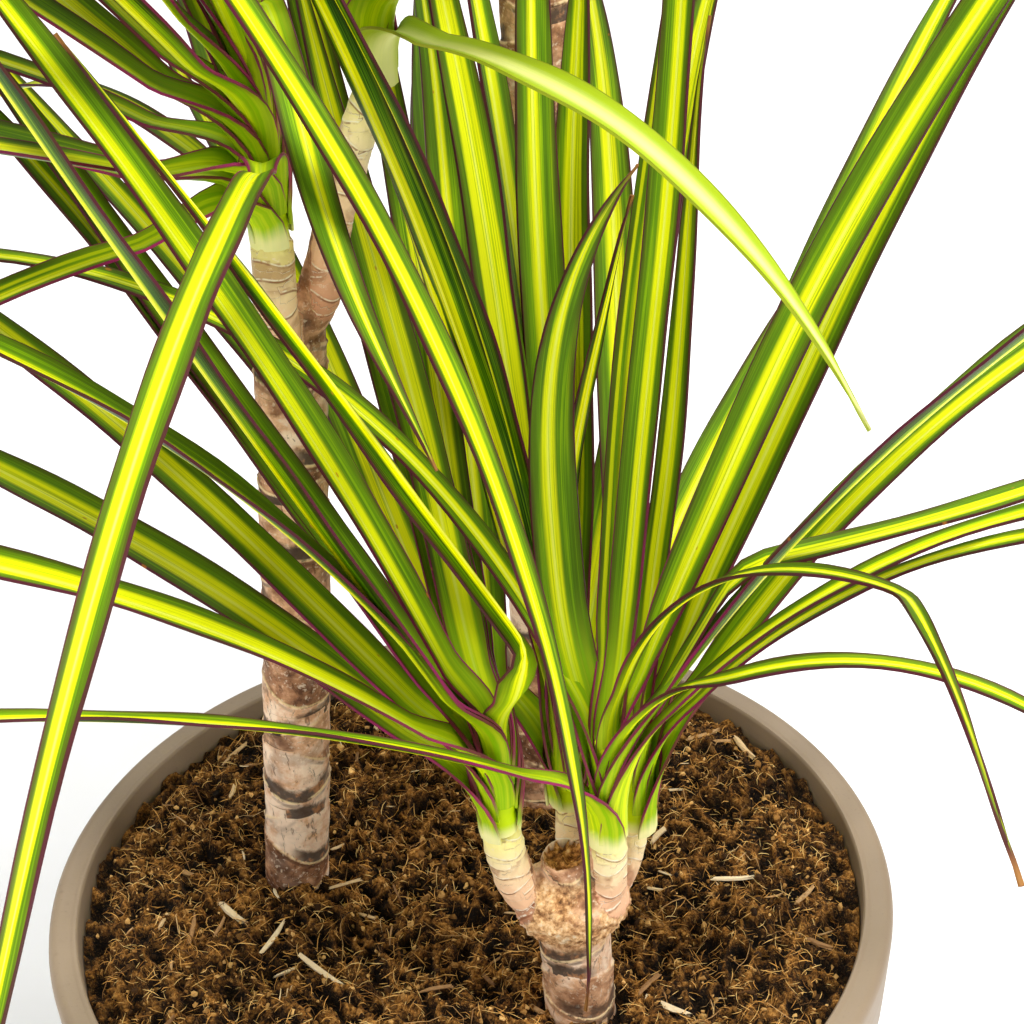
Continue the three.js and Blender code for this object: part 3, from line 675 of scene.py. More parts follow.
def makeCane(name):
    spec = canes[name]
    ownShoots = {key: shoot for key, shoot in shoots.items() if shoot["cane"] == name}
    stem = joinPieces("cane_" + name + "_bark", caneParts(name, ownShoots))
    applyModifier(stem, "REMESH", mode="VOXEL", voxel_size=bark["voxel"] * mm)
    applyModifier(stem, "SMOOTH", factor=0.5, iterations=4)
    points = vertexPlaces(stem) / mm
    run, turn, away, length = stemPlaces(points, spec["route"], 600)
    gap, front, above, tone = scarFields(run, turn, length, bark["scarGap"], bark["scarLift"], len(name) * 31)
    fresh, crust = np.zeros((2, len(points)))
    ridge, recess = np.full(len(points), bark["ridge"]), np.full(len(points), bark["recess"])
    for key, shoot in ownShoots.items():
        shootRun, shootTurn, shootAway, shootLength = stemPlaces(points, shoot["route"], 120)
        radius = np.mean(shoot["radius"])
        mine = (shootAway / radius < away / spec["radius"]) & (shootRun > shoot["radius"][0])
        mine &= shootAway < radius * 2.2
        fields = scarFields(shootRun, shootTurn, shootLength, bark["shootGap"], bark["shootLift"], ord(key))
        gap, front, above, tone = np.where(mine, fields, (gap, front, above, tone))
        fresh = np.where(mine, mixed(0.25, 1.0, np.clip(shootRun / shootLength, 0, 1)), fresh)
        ridge = np.where(mine, bark["shootRidge"], ridge)
        recess = np.where(mine, bark["shootRidge"] * 0.7, recess)
    if name == "short":
        shaped = np.linalg.norm((points - knob["centre"]) / np.array(knob["size"]), axis=1)
        crust = smoothShare((1.35 - shaped) / 0.35) * (fresh < 0.3)
    topX, topY, topZ = spec["route"][-1]
    topAway = np.hypot(points[:, 0] - topX, points[:, 1] - topY)
    pith = smoothShare((points[:, 2] - topZ + 1.6) / 0.9) * (topAway < spec["radius"])
    topAway = topAway / (spec["radius"] * spec["narrow"])
    lumps = noiseAt(points, 0.09, 2, 4.0)
    grains = noiseAt(points, 0.42, 3, 8.0)
    push = ridge * np.exp(-(gap / bark["ridgeWidth"]) ** 2) * np.clip(front * 3, 0, 1)
    push = push - recess * np.exp(-np.clip(above, 0, 40) / bark["recessReach"]) * (above < 40)
    push = push * (1 - crust) * (1 - pith) + bark["swell"] * lumps + crust * (grains * 1.1 + 0.2) + grains * 0.12
    points = points + vertexPlaces(stem, "normal") * push[:, None]
    points[:, 2] -= pith * (topAway < bark["pithShare"]) * (bark["pithDepth"] + grains * 2.2)
    setVertexPlaces(stem, points * mm)
    setAttributes(
        stem, barkGap=gap, barkFront=front, barkAbove=above, barkTone=tone, barkFresh=fresh, barkCrust=crust,
        barkPith=pith * (topAway < bark["pithRim"]),
    )
    settle(stem, 180, "bark", bark["finish"], "cane_" + name)


def barkFinish():
    paint = Paint("bark")
    place = paint.place()
    gap, front, above, tone, fresh, crust, pith = map(paint.attribute, (
        "barkGap", "barkFront", "barkAbove", "barkTone", "barkFresh", "barkCrust", "barkPith",
    ))
    mottle = paint.grain(place, 150, 4, 0.62)
    fine = paint.grain(place, 620, 3, 0.6)
    patches = paint.grain(place, 60, 3, 0.55, 0.6)
    cracks = paint.grain(paint.stretched(place, (1, 1, 0.35)), 420, 3, 0.7, 1.2)
    ragged = above + (mottle - 0.5) * 6
    darkZone = ragged.below(3.5, 6.0) * tone.between(0.4, 0.55) * front.between(0.45, 0.75)
    lineWidth = 0.55 + (fine - 0.5) * 0.6
    onLine = abs(gap).below(0.15, 0.65) * front.between(0.12, 0.4) * lineWidth.between(0.3, 0.55)
    # painted shadow just under each scar line, where the ridge shades the bark
    shadowUnderLine = abs(gap + 1.5).below(0.3, 1.0) * front.between(0.15, 0.5) * mottle.between(0.4, 0.6)
    wood = paint.cover(
        paint.ramp(mottle * 0.7 + tone * 0.3, bark["woods"]),
        (patches.between(0.52, 0.66) * 0.5, bark["grey"]),
        (fine.between(0.56, 0.68) * 0.65, bark["light"]),
        (cracks.between(0.58, 0.68) * 0.65, bark["crack"]),
        (darkZone * 0.9, paint.blend(mottle.between(0.5, 0.62), *bark["darks"])),
        (onLine * mottle.between(0.36, 0.54) * 0.85, bark["line"]),
        (shadowUnderLine * 0.6, bark["shadowUnderLine"]),
    )
    young = paint.cover(
        paint.ramp(fresh + (patches - 0.5) * 0.25, bark["youngs"]),
        (patches.between(0.47, 0.56) * tone.between(0.25, 0.5) * 0.7, bark["youngPatch"]),
        (fine.between(0.6, 0.72) * 0.5, bark["youngLight"]),
        (abs(gap).below(0.1, 0.34) * fine.between(0.35, 0.55) * 0.7, bark["youngLine"]),
        # painted shadow just under each scar line on the side shoots
        (abs(gap + 0.5).below(0.08, 0.42) * mottle.between(0.4, 0.56) * 0.8, bark["youngShadowUnder"]),
    )
    shade = paint.cover(
        wood,
        (fresh.between(0.12, 0.3), young),
        (crust * patches.between(0.36, 0.58), paint.ramp(fine * 0.5 + mottle * 0.5, bark["scabs"])),
        (pith, paint.ramp(fine * 0.6 + cracks * 0.4, bark["piths"])),
    )
    relief = mottle * 0.8 + fine * 0.5 - cracks.between(0.58, 0.68) * 0.7 + onLine * 0.8 - shadowUnderLine * 0.8
    return paint.finish(shade, 0.82 - fresh.between(0.3, 0.8) * 0.38, 0.35, (relief, 0.5, 0.0009))


# Leaves: the rule that spreads, bends and clears them is the part's own

leaf = {
    "thickness": 0.75, "channel": 0.13, "droopPower": 1.2, "rootShare": 0.35, "growShare": 0.16, "taperStart": 0.4,
    "taperPower": 1.7, "kinkSpan": 0.08, "rollShare": 0.3, "strongDroop": 70, "steps": 50, "across": 8,
    "fineRows": 12, "fineSteps": 6, "claspReach": 30, "leadIn": 34, "claspTurn": 2.3, "lowestSeat": -1,
    "topSeat": 0.8, "outerSeat": 0.3, "innerSeat": -1.2, "baseShare": 0.84, "slimmest": 0.6, "fullWidth": 16,
    "curlRadius": 90, "wave": 0.35, "waver": 1.2, "twist": 7,
    "sheath": {"leafAcross": 0.3, "leafHalf": 9, "leafShare": 0, "leafSeed": 0.4, "leafUnder": 0},
}

leafFields = ("turn", "rise", "length", "droop", "sway", "width")

placedLeaves = {  # leaves given one by one, in the order of leafFields, with what else an odd one has
    "e": [
        (276, 30, 383, 78, -22, 8.4),
        (203, 1, 325, 80, 7, 12.4),
        (198, 72, 373, 3, 0, 14.4),
        (165, 30, 287, 75, 0, 8.6),
        (126, 12, 306, 83, 0, 8.6),
        (304, 76, 153, 0, 15, 9.6, {"kink": [0.15, 115, -21]}),
        (239, 71, 384, 56, 7, 8.6, {"kink": [0.15, 112, 82]}),
    ],
    "a": [
        (204, 50, 373, 47, 0, 15.3),
        (210, 64, 373, -4, 0, 15.3),
        (206, 66, 368, 53, 0, 15.3),
        (304, 67, 251, -3, 0, 13.4, {"kink": [0.19, -47, 62]}),
        (168, 69, 373, 21, 0, 15.3),
    ],
    "b": [
        (131, 68, 195, -59, 8, 13.2, {"roll": -40}),
        (151, 70, 317, 96, 30, 10.5),
        (205, 38, 364, 38, 0, 9.6, {"roll": 20}),
        (4, 73, 380, 24, 1, 11.5, {"roll": 55}),
        (346, 63, 373, 42, 0, 14.4, {"roll": -15}),
        (301, 80, 256, 136, 22, 5.8, {"kink": [0.6, -24, -45]}),
        (344, 59, 321, 83, -5, 8),
        (356, 62, 301, -21, 2, 9, {"kink": [0.25, 58, 9]}),
        (309, 69, 225, 158, 1, 7, {"kink": [0.3, 0, 32]}),
        (60, 75, 368, -11, 3, 9.6),
    ],
    "c": [
        (6, 73, 380, 20, 2, 12, {"roll": 42}),
        (0, 88, 232, 97, 84, 8),
        (350, 64, 281, 105, -8, 6),
        (60, 78, 213, 3, 1, 8),
    ],
    "f": [
        (300, 20, 201, 60, 4, 9.6, {"tone": 1.0}),
    ],
    "d": [
        (172, 87, 335, 26, 0, 14.4, {"roll": 50}),
        (130, 88, 335, 18, 0, 14.4, {"roll": 20}),
        (101, 86, 316, -9, 0, 12.4),
        (150, 75, 215, 2, 0, 8.6, {"roll": 60}),
        (182, 84, 316, 29, 0, 10.5, {"roll": 20}),
        (358, 88, 174, 17, 0, 6.5, {"roll": -60}),
    ],
}

headFields = ("at", "core", "leaves", "turns", "rises", "droop", "seed")

headRows = {
    "a": ([11.6, -57.5, 310.9], 34.4, 14, [79, 146], [22, 74], 18, 670),
    "b": ([42.2, -57.5, 305.2], 34.4, 3, [52, 129], [10, 87], 30, 28),
    "c": ([51.5, -39.3, 294.6], 28.7, 4, [17, 140], [48, 70], 68, 255),
    "d": ([31.8, -28.8, 294.6], 28.7, 9, [51, 206], [24, 86], 13, 217),
    "e": ([-40.8, -3.9, 471.6], 53.6, 17, [68, 231], [16, 82], 13, 334),
    "f": ([-10.7, 0.9, 512.8], 53.6, 20, [-60, 200], [24, 86], 50, 542),
    "g": ([12.3, 22.9, 747.2], 53.6, 20, [130, 330], [24, 86], 52, 71),
    "h": ([60.1, 48.7, 758.7], 53.6, 20, [-80, 90], [24, 86], 52, 83),
    "i": ([21.9, 73.6, 735.7], 53.6, 18, [50, 200], [10, 84], 60, 97),
}

heads = {name: dict(zip(headFields, row)) for name, row in headRows.items()}

headRule = {
    "coreTopShare": 0.7, "seatRadius": 5.7, "rootSink": 3.3, "lowestRoot": 5.7, "topRoot": 4.8, "golden": 0.618034,
    "outerLength": 373.1, "innerLength": 248.8, "lengthSpread": 57.4, "turnSpread": 14, "riseSpread": 10,
    "swaySpread": 16, "minWidth": 11.5, "maxWidth": 15.3, "lowestRise": 15, "highestRise": 88, "riseSpan": 70,
    "aroundSpread": 0.1, "droopShare": 1.1, "droopSpread": 12,
}

spacing = {"gap": 5.9, "alongStep": 4, "acrossSteps": 4, "aroundSteps": 16, "rootPoints": 10, "rimRoom": 5}

nudges = [  # turns and rises that are tried for a leaf that has no room
    (0, 0), (3, 0), (-3, 0), (0, 3), (0, -3), (6, 2), (-6, 2), (6, -3), (-6, -3), (11, 3), (-11, 3), (11, -4),
    (-11, -4), (18, 4), (-18, 4),
]


def leafWidth(width, share):
    grow = leaf["rootShare"] + (1 - leaf["rootShare"]) * smoothShare(share / leaf["growShare"])
    taper = 1 - np.maximum(0, (share - leaf["taperStart"]) / (1 - leaf["taperStart"])) ** leaf["taperPower"]
    return width * grow * taper


def rolled(ahead, side, angle):  # the side direction turned about the way ahead
    return side * np.cos(angle) + np.cross(ahead, side) * np.sin(angle)


def leafLine(root, spec):  # centre line with the side and face directions at each step
    kinkAt, kinkDrop, kinkTurn = spec.get("kink", (2, 0, 0))
    share = np.arange(leaf["steps"] + 1) / leaf["steps"]
    bent = smoothShare((share - kinkAt) / leaf["kinkSpan"] + 0.5)
    pitch = np.radians(spec["rise"] - spec["droop"] * share ** leaf["droopPower"] - kinkDrop * bent)
    heading = np.radians(spec["turn"] + spec["sway"] * share + kinkTurn * bent)
    ahead = np.stack([np.cos(pitch) * np.cos(heading), np.cos(pitch) * np.sin(heading), np.sin(pitch)], 1)
    side = np.stack([-np.sin(heading), np.cos(heading), np.zeros_like(heading)], 1)
    side = rolled(ahead, side, (np.radians(spec.get("roll", 0)) * smoothShare(share / leaf["rollShare"]))[:, None])
    places = root + np.concatenate([np.zeros((1, 3)), np.cumsum(ahead[:-1], 0)]) * spec["length"] / leaf["steps"]
    return places, side, np.cross(ahead, side)


def sectionSteps(spec):  # the steps at which the part's own leaf has a section
    last = leaf["steps"]
    if "kink" in spec:
        bend = int(spec["kink"][0] * last + 0.5)
        rest = (last - bend - 2) / 10
        lead = [int(bend * 0.35 + 0.5), int(bend * 0.68 + 0.5)] if bend > 16 else []
        late = [bend + 2 + int(rest * part + 0.5) for part in (3, 6)]
        return [0, *lead, bend - 2, bend, bend + 2, *late, last]
    return [0, 5, 14, 23, 32, 41, last] if spec["droop"] > leaf["strongDroop"] else [0, 5, 15, 27, 39, last]


def leafSections(root, spec):
    places, side, face = leafLine(root, spec)
    steps = sectionSteps(spec)
    half = leafWidth(spec["width"], np.array(steps) / leaf["steps"])[:, None] / 2
    raised = places[steps] + face[steps] * half * 2 * leaf["channel"]
    return np.stack([raised + side[steps] * half, places[steps], raised - side[steps] * half], 1)


def leafPoints(sections):
    points = []
    places = np.linspace(0, 2, spacing["acrossSteps"] + 1)  # from the left edge by the trough to the right edge
    for row, (low, high) in enumerate(zip(sections, sections[1:])):
        steps = max(1, math.ceil(np.linalg.norm(high[1] - low[1]) / spacing["alongStep"]))
        ends = high if row + 2 < len(sections) else np.array([high[1]] * 3)
        points += [eachAxis(places, range(3), mixed(low, ends, step / steps)) for step in range(steps)]
    return np.concatenate([*points, sections[-1][1:2]])


occupied = {}  # cell of the grid to the points in it, each with its owner
neighbours = [(dx, dy, dz) for dx in (-1, 0, 1) for dy in (-1, 0, 1) for dz in (-1, 0, 1)]


def cellOf(point):
    return tuple(int(math.floor(value / spacing["gap"])) for value in point)


def remember(point, owner):
    occupied.setdefault(cellOf(point), []).append((*point, owner))


def isTaken(point, owner):
    column, row, layer = cellOf(point)
    x, y, z = point
    reach = spacing["gap"] ** 2
    for dx, dy, dz in neighbours:
        for ax, ay, az, name in occupied.get((column + dx, row + dy, layer + dz), ()):
            if name != owner and (ax - x) ** 2 + (ay - y) ** 2 + (az - z) ** 2 < reach:
                return True
    return False


def rememberBar(route, radius, owner):
    corners = np.array(route, float)
    for start, end in zip(corners, corners[1:]):
        rows = math.ceil(np.linalg.norm(end - start) / spacing["alongStep"])
        for row in range(rows + 1):
            x, y, z = start + (end - start) * (row / rows)
            for side in range(spacing["aroundSteps"]):
                turn = side * math.tau / spacing["aroundSteps"]
                remember((x + radius * math.cos(turn), y + radius * math.sin(turn), z), owner)


def isTooLow(point):
    near = math.hypot(point[0], point[1]) < pot["rimRadius"] + spacing["rimRoom"]
    return near and point[2] < pot["height"] + spacing["rimRoom"]


def coreRadius(share):
    return mixed(headRule["seatRadius"], headRule["seatRadius"] * headRule["coreTopShare"], share)


def coreRoute(head):
    x, y, z = head["at"]
    return [[x, y, z + head["core"] * part] for part in (0, 0.5, 1)]


def leafRoot(head, turn, rise):
    share = min(max((rise - headRule["lowestRise"]) / headRule["riseSpan"], 0), 1)
    height = mixed(headRule["lowestRoot"], head["core"] - headRule["topRoot"], share)
    radius = coreRadius(height / head["core"]) - headRule["rootSink"]
    x, y, z = head["at"]
    return np.array([x + radius * math.cos(math.radians(turn)), y + radius * math.sin(math.radians(turn)), z + height])


def tryLeaf(name, spec):
    for turnShift, riseShift in nudges:
        shifted = dict(spec, turn=spec["turn"] + turnShift, rise=spec["rise"] + riseShift)
        root = leafRoot(heads[name], shifted["turn"], spec["rise"])
        points = leafPoints(leafSections(root, shifted)).tolist()
        if not any(isTooLow(point) or isTaken(point, name) for point in points[spacing["rootPoints"]:]):
            for point in points:
                remember(point, name)
            return dict(shifted, root=root)
    return None


def makeDraw(seed):  # the part's own row of random numbers
    state = seed * 7919 + 17

    def draw():
        nonlocal state
        state = (state * 16807) % 2147483647
        return state / 2147483647

    return draw


def spreadLeaves(head):
    draw = makeDraw(head["seed"])
    rows = []
    for index in range(head["leaves"]):
        share = (index + 0.5) / head["leaves"]
        aroundShare = (index * headRule["golden"] + draw() * headRule["aroundSpread"]) % 1
        turn = mixed(*head["turns"], aroundShare) + (draw() - 0.5) * headRule["turnSpread"]
        rise = mixed(*head["rises"], share) + (draw() - 0.5) * headRule["riseSpread"]
        length = mixed(headRule["outerLength"], headRule["innerLength"], share ** 3) - draw() * headRule["lengthSpread"]
        droop = head["droop"] * (headRule["droopShare"] - share) + draw() * headRule["droopSpread"]
        sway = (draw() - 0.5) * headRule["swaySpread"]
        width = mixed(headRule["minWidth"], headRule["maxWidth"], draw())
        rows.append((turn, min(rise, headRule["highestRise"]), length, droop, sway, width))
    return rows


def growHeads():
    for shoot in shoots.values():
        rememberBar(shoot["route"], shoot["radius"][0], "stem")
    for spec in canes.values():
        rememberBar(spec["route"], spec["radius"], "stem")
    for name, head in heads.items():
        rememberBar(coreRoute(head), headRule["seatRadius"], name)
    grown = {name: [] for name in heads}
    for name, rows in [*placedLeaves.items(), *((name, spreadLeaves(head)) for name, head in heads.items())]:
        specs = (dict(zip(leafFields, row), **dict(*row[6:])) for row in rows)
        grown[name] += filter(None, [tryLeaf(name, spec) for spec in specs])
    print("leaves", {name: len(specs) for name, specs in grown.items()})
    return grown


def leafRows():
    fine = np.linspace(0, leaf["fineSteps"], leaf["fineRows"], endpoint=False)
    return np.concatenate([fine, np.arange(leaf["fineSteps"], leaf["steps"] + 1)])


def layLeaf(blade, head, spec, rank, draw):  # lays a copy of the flat blade along its line
    rows, steps = leafRows(), np.arange(leaf["steps"] + 1)
    places, side, _ = leafLine(spec["root"], spec)
    line, side = eachAxis(rows, steps, places), eachAxis(rows, steps, side)
    share = rows / leaf["steps"]
    run = share * spec["length"]
    middle = np.array(head["at"][:2])
    outward = spec["root"][:2] - middle
    outward /= np.linalg.norm(outward)
    start = mixed(leaf["lowestSeat"], head["core"] * leaf["topSeat"], rank)
    seat = coreRadius(start / head["core"]) + mixed(leaf["outerSeat"], leaf["innerSeat"], rank)
    stem = np.zeros_like(line)
    stem[:, :2] = middle + outward * seat
    stem[:, 2] = head["at"][2] + start + run
    line = mixed(stem, line, smoothShare(run / leaf["leadIn"])[:, None])
    grown = smoothShare((share - 0.1) / 0.3)
    phase = draw.uniform(0, math.tau)
    line = line + side * (leaf["waver"] * grown * np.sin(share * 7 + phase))[:, None]
    ahead = unit(np.gradient(line, axis=0))
    side = unit(side - ahead * (side * ahead).sum(1)[:, None])
    twist = math.radians(draw.uniform(-leaf["twist"], leaf["twist"]))
    side = rolled(ahead, side, (twist * np.sin(share * draw.uniform(2, 5) + phase) * grown)[:, None])
    face = np.cross(ahead, side)
    clasp = smoothShare(run / leaf["claspReach"])
    slim = mixed(leaf["slimmest"], 1, spec["width"] / leaf["fullWidth"])
    bladeHalf = np.maximum(leafWidth(spec["width"], share), (share < 0.2) * spec["width"] * leaf["baseShare"]) / 2
    half = mixed(leaf["claspTurn"] * seat * slim, bladeHalf, clasp)
    half[-1] = 0
    curl = mixed(1 / (seat + 0.4), 1 / leaf["curlRadius"], smoothShare(run / (leaf["claspReach"] * 1.15)))
    grid = vertexPlaces(blade)
    column = grid[:, 0]
    row = np.rint((grid[:, 1] + 1) / 2 * (len(rows) - 1)).astype(int)
    reach = column * half[row]
    angle = reach * curl[row]
    over, lift = np.sin(angle) / curl[row], (1 - np.cos(angle)) / curl[row]
    channel = 2 * leaf["channel"] * np.abs(reach) ** 1.15 * np.maximum(half[row], 0.01) ** -0.15 * clasp[row]
    wave = leaf["wave"] * np.sin(run[row] * 0.11 + phase + column * 1.3) * np.abs(column) ** 2 * grown[row]
    laid = line[row] + side[row] * over[:, None] + face[row] * (lift + channel + wave)[:, None]
    setVertexPlaces(blade, laid * mm)
    setAttributes(
        blade, leafAcross=column, leafHalf=half[row], leafAlong=run[row], leafShare=share[row],
        leafRise=start + run[row], leafSeed=spec.get("tone", draw.uniform(0.0, 0.9)),
    )
    blade.data.uv_layers.active.name = "leafUV"


def makeHead(name, specs, flatBlade, material):
    head = heads[name]
    draw = random.Random(head["seed"])
    blades = []
    for index, spec in enumerate(sorted(specs, key=lambda spec: spec["rise"])):
        blade = flatBlade.copy()
        blade.data = flatBlade.data.copy()
        bpy.context.scene.collection.objects.link(blade)
        layLeaf(blade, head, spec, index / (len(specs) - 1), draw)
        blades.append(blade)

    def ringed(share):
        return coreRadius(share) - 0.8 + 0.12 * np.cos(share * head["core"] * math.tau / 4.2)

    sheath = stemTube("sheath", coreRoute(head), ringed, 32, 60)
    foliage = joinPieces("foliage_" + name, blades)
    editMesh(foliage, lambda: bpy.ops.mesh.remove_doubles(threshold=0.000004))
    count = len(foliage.data.vertices)
    applyModifier(foliage, "SOLIDIFY", thickness=leaf["thickness"] * mm, offset=-1)
    place = np.arange(len(foliage.data.vertices))
    setAttributes(foliage, leafUnder=(place >= count) & (place < count * 2))
    rise = vertexPlaces(sheath)[:, 2] / mm - head["at"][2]
    setAttributes(sheath, leafAlong=rise, leafRise=rise, **leaf["sheath"])
    whole = joinPieces("foliage_" + name, [foliage, sheath])
    settle(whole, 50, "leaf", material, "head_" + name)


leafTints = {
    "greens": [
        (0.3, (6, 18, 0)), (0.43, (32, 64, 0)), (0.51, (70, 112, 0)), (0.6, (138, 174, 0)), (0.72, (214, 234, 0)),
    ],
    "rim": (14, 22, 0), "golds": [(255, 250, 0), (240, 238, 0)], "core": (255, 255, 120),
    "roots": [(216, 238, 30), (160, 208, 6)], "seat": (250, 240, 176), "pales": [(255, 252, 176), (196, 214, 40)],
    "under": (132, 172, 30), "wines": [(108, 34, 56), (150, 24, 92)], "oldWine": (58, 28, 24), "flush": (62, 26, 26),
    "tip": (140, 96, 48), "spot": (170, 104, 36),
}


def leafFinish():
    paint = Paint("leaf")
    across, half, along, share, rise, seed, under = map(paint.attribute, (
        "leafAcross", "leafHalf", "leafAlong", "leafShare", "leafRise", "leafSeed", "leafUnder",
    ))
    overMm = across * half
    fromEdge = (1 - abs(across)) * half

    def strips(cross, length, shift, detail, roughness):  # grain drawn out along the blade, other for each leaf
        return paint.grain(paint.joined(overMm * cross, along * length, seed * shift), 1.0, detail, roughness)

    def chance(factor):  # a number from 0 to 1 that is the leaf's own
        return (seed * factor).fraction()

    streaks = strips(0.9, 0.012, 71, 3, 0.6)
    threads = strips(3.2, 0.01, 53, 2, 0.6)
    veins = strips(7.0, 0.006, 29, 1, 0.5)
    blotch = strips(0.25, 0.03, 91, 2, 0.5)
    middle = (chance(7.31) - 0.5) * 0.34 + (streaks - 0.5) * 0.14
    reach = 0.27 + chance(13.7) * 0.28
    distance = abs(across - middle)
    stripe = distance.below(reach - 0.1, reach + 0.1)
    second = abs(across - middle + 0.62 - chance(5.3) * 1.24).below(0.05, 0.12) * chance(3.9).between(0.3, 0.5)
    thin = threads.between(0.56, 0.64)
    tipFade = share.below(0.86, 0.99)
    lime = (stripe * (1 - thin * 0.6)).atLeast(second * 0.8) * (0.35 + tipFade * 0.65)
    rim = (1 - abs(across)).below(0.03, 0.5)
    green = paint.cover(
        paint.ramp(streaks * 0.5 + threads * 0.35 + blotch * 0.15, leafTints["greens"]),
        (rim * (0.55 + blotch * 0.5), leafTints["rim"]),
    )
    gold = paint.cover(
        paint.blend(threads.between(0.35, 0.6), *leafTints["golds"]),
        (distance.below(0.0, 0.14) * 0.7, leafTints["core"]),
    )
    wine = paint.cover(
        paint.blend(blotch.between(0.35, 0.65), *leafTints["wines"]),
        (share.between(0.06, 0.3) * 0.85, leafTints["oldWine"]),
    )
    pale = seed.between(0.95, 0.99)
    flush = fromEdge.below(0.1, 1.9) * along.between(4.0, 20.0) * (1 - pale)
    marginWidth = 0.22 + share.below(0.0, 0.25) * 0.22 + (blotch - 0.5) * 0.3
    margin = (fromEdge / marginWidth.atLeast(0.15)).below(0.75, 1.25) * along.between(1.0, 8.0) * (1 - pale * 0.6)
    spots = paint.cells(paint.joined(overMm * 0.12, along * 0.05, seed * 19), 1.0)
    shade = paint.cover(
        paint.blend(lime, green, gold),
        (along.below(10, 62) * 0.7, paint.blend(streaks.between(0.35, 0.65), *leafTints["roots"])),
        ((rise + (blotch - 0.5) * 5).below(0.4, 5.5) * 0.85, leafTints["seat"]),
        (pale * 0.85, paint.blend(distance.between(0.1, 0.75), *leafTints["pales"])),
        (under * 0.3, leafTints["under"]),
        (flush * blotch.between(0.3, 0.6) * 0.6, leafTints["flush"]),
        (margin * 0.92, wine),
        (share.between(0.965, 0.995) * chance(17.0).between(0.35, 0.5), leafTints["tip"]),
        (spots.below(0.03, 0.055) * 0.7, leafTints["spot"]),
    )
    roughness = 0.33 + streaks * 0.16 + under * 0.14
    return paint.finish(shade, roughness, 0.09, (veins * 0.5 + threads * 0.5, 0.22, 0.0004))


# Loose bits on the soil

scatter = {
    "seed": 5, "reach": 121, "caneRoom": 12.2, "caneBases": [(32.8, -51.8), (-56.6, 11.4), (24.6, 43)],
    "skin": {"grain": 700, "share": 0.3, "specular": 0.25, "bump": 0.6, "depth": 0.0006},
}

crumbs = {
    "count": 5200, "size": [0.4, 1.7], "few": 3.2, "flat": [0.4, 0.8], "slim": [0.6, 1], "tumble": 3, "jag": 0.55,
    "sink": 0.1, "smooth": 20, "finish": ("peat_crumb", 0.93),
    "tints": [(0.12, (12, 7, 3)), (0.38, (66, 42, 18)), (0.62, (156, 110, 54)), (0.88, (250, 200, 124))],
}

threads = {
    "count": 260, "length": [6, 20], "radius": [0.09, 0.2], "curve": 1.4, "slope": [0, 0], "arch": [0, 2.6],
    "lift": [0, 0.8], "hug": True, "cuts": (-0.6, -0.2, 0.2, 0.6), "sides": 4, "seed": 6,
    "steps": [faceOut], "smooth": 70, "finish": ("soil_threads_fibre", 0.8),
    "tints": [(0.1, (86, 56, 30)), (0.45, (146, 104, 60)), (0.75, (196, 152, 96)), (0.95, (238, 212, 164))],
}

fibres = {
    "count": 8200, "length": [1.8, 7], "radius": [0.07, 0.17], "curve": 0.9, "slope": [-0.6, 0.9], "arch": [0, 0.8],
    "lift": [0.1, 1.5], "hug": False, "cuts": (-0.34, 0.34), "sides": 3, "seed": 9,
    "steps": [faceOut], "smooth": 70, "finish": ("soil_fibres_fibre", 0.8),
    "tints": [(0.12, (30, 17, 6)), (0.34, (146, 96, 40)), (0.62, (240, 178, 92)), (0.92, (255, 226, 152))],
}

chips = {
    "count": 130, "length": [3, 14], "few": 2.2, "slim": [0.07, 0.2], "taper": 0.65, "bow": 0.5, "rough": 0.35,
    "pitch": 0.25, "roll": 0.5, "flat": 0.5, "lift": 1.3, "paleTone": 0.9, "smooth": 50, "finish": ("wood_chip", 0.75),
    "splinters": [  # the large pale ones: place, length, width and turn
        (20, -86, 16, 1.9, 10), (72, -86, 14, 1.9, 96), (-47, -35, 17, 1.8, -38), (59, -56, 14, 2.2, -28),
        (85, -2, 14, 1.8, 14), (-62, -21, 13, 1.6, 60),
    ],
    "tints": [(0.1, (110, 74, 42)), (0.4, (178, 136, 88)), (0.65, (226, 196, 148)), (0.95, (250, 234, 202))],
}


def scatterSpots(draw, count, reach):
    spots = []
    while len(spots) < count:
        x, y = draw.uniform(-reach, reach), draw.uniform(-reach, reach)
        clear = all(math.hypot(x - cx, y - cy) > scatter["caneRoom"] for cx, cy in scatter["caneBases"])
        if math.hypot(x, y) < reach and clear:
            spots.append((x, y))
    return np.array(spots)


def moved(points, place, scale, *turns):  # corner places scaled, turned and set down
    transform = Matrix.Translation(Vector(place) * mm)
    for angle, axis in turns:
        transform = transform @ Matrix.Rotation(angle, 4, axis)
    transform = transform @ Matrix.Diagonal((*scale, 1))
    return points @ np.array(transform.to_3x3()).T + np.array(transform.translation)


def strew(name, base, shapes, tones, spec):  # one piece of many copies of a small shape, each with its own corners
    count = len(base.data.vertices)
    faces = [list(face.vertices) for face in base.data.polygons]
    everyFace = [[vertex + index * count for vertex in face] for index in range(len(shapes)) for face in faces]
    mesh = bpy.data.meshes.new(name)
    mesh.from_pydata(np.concatenate(shapes).tolist(), [], everyFace)
    piece = bpy.data.objects.new(name, mesh)
    bpy.context.scene.collection.objects.link(piece)
    setAttributes(piece, bitTone=np.repeat(tones, count))
    bpy.data.objects.remove(base)
    editMesh(piece, *spec.get("steps", ()))
    settle(piece, spec["smooth"], "soil", bitFinish(*spec["finish"], spec["tints"]))


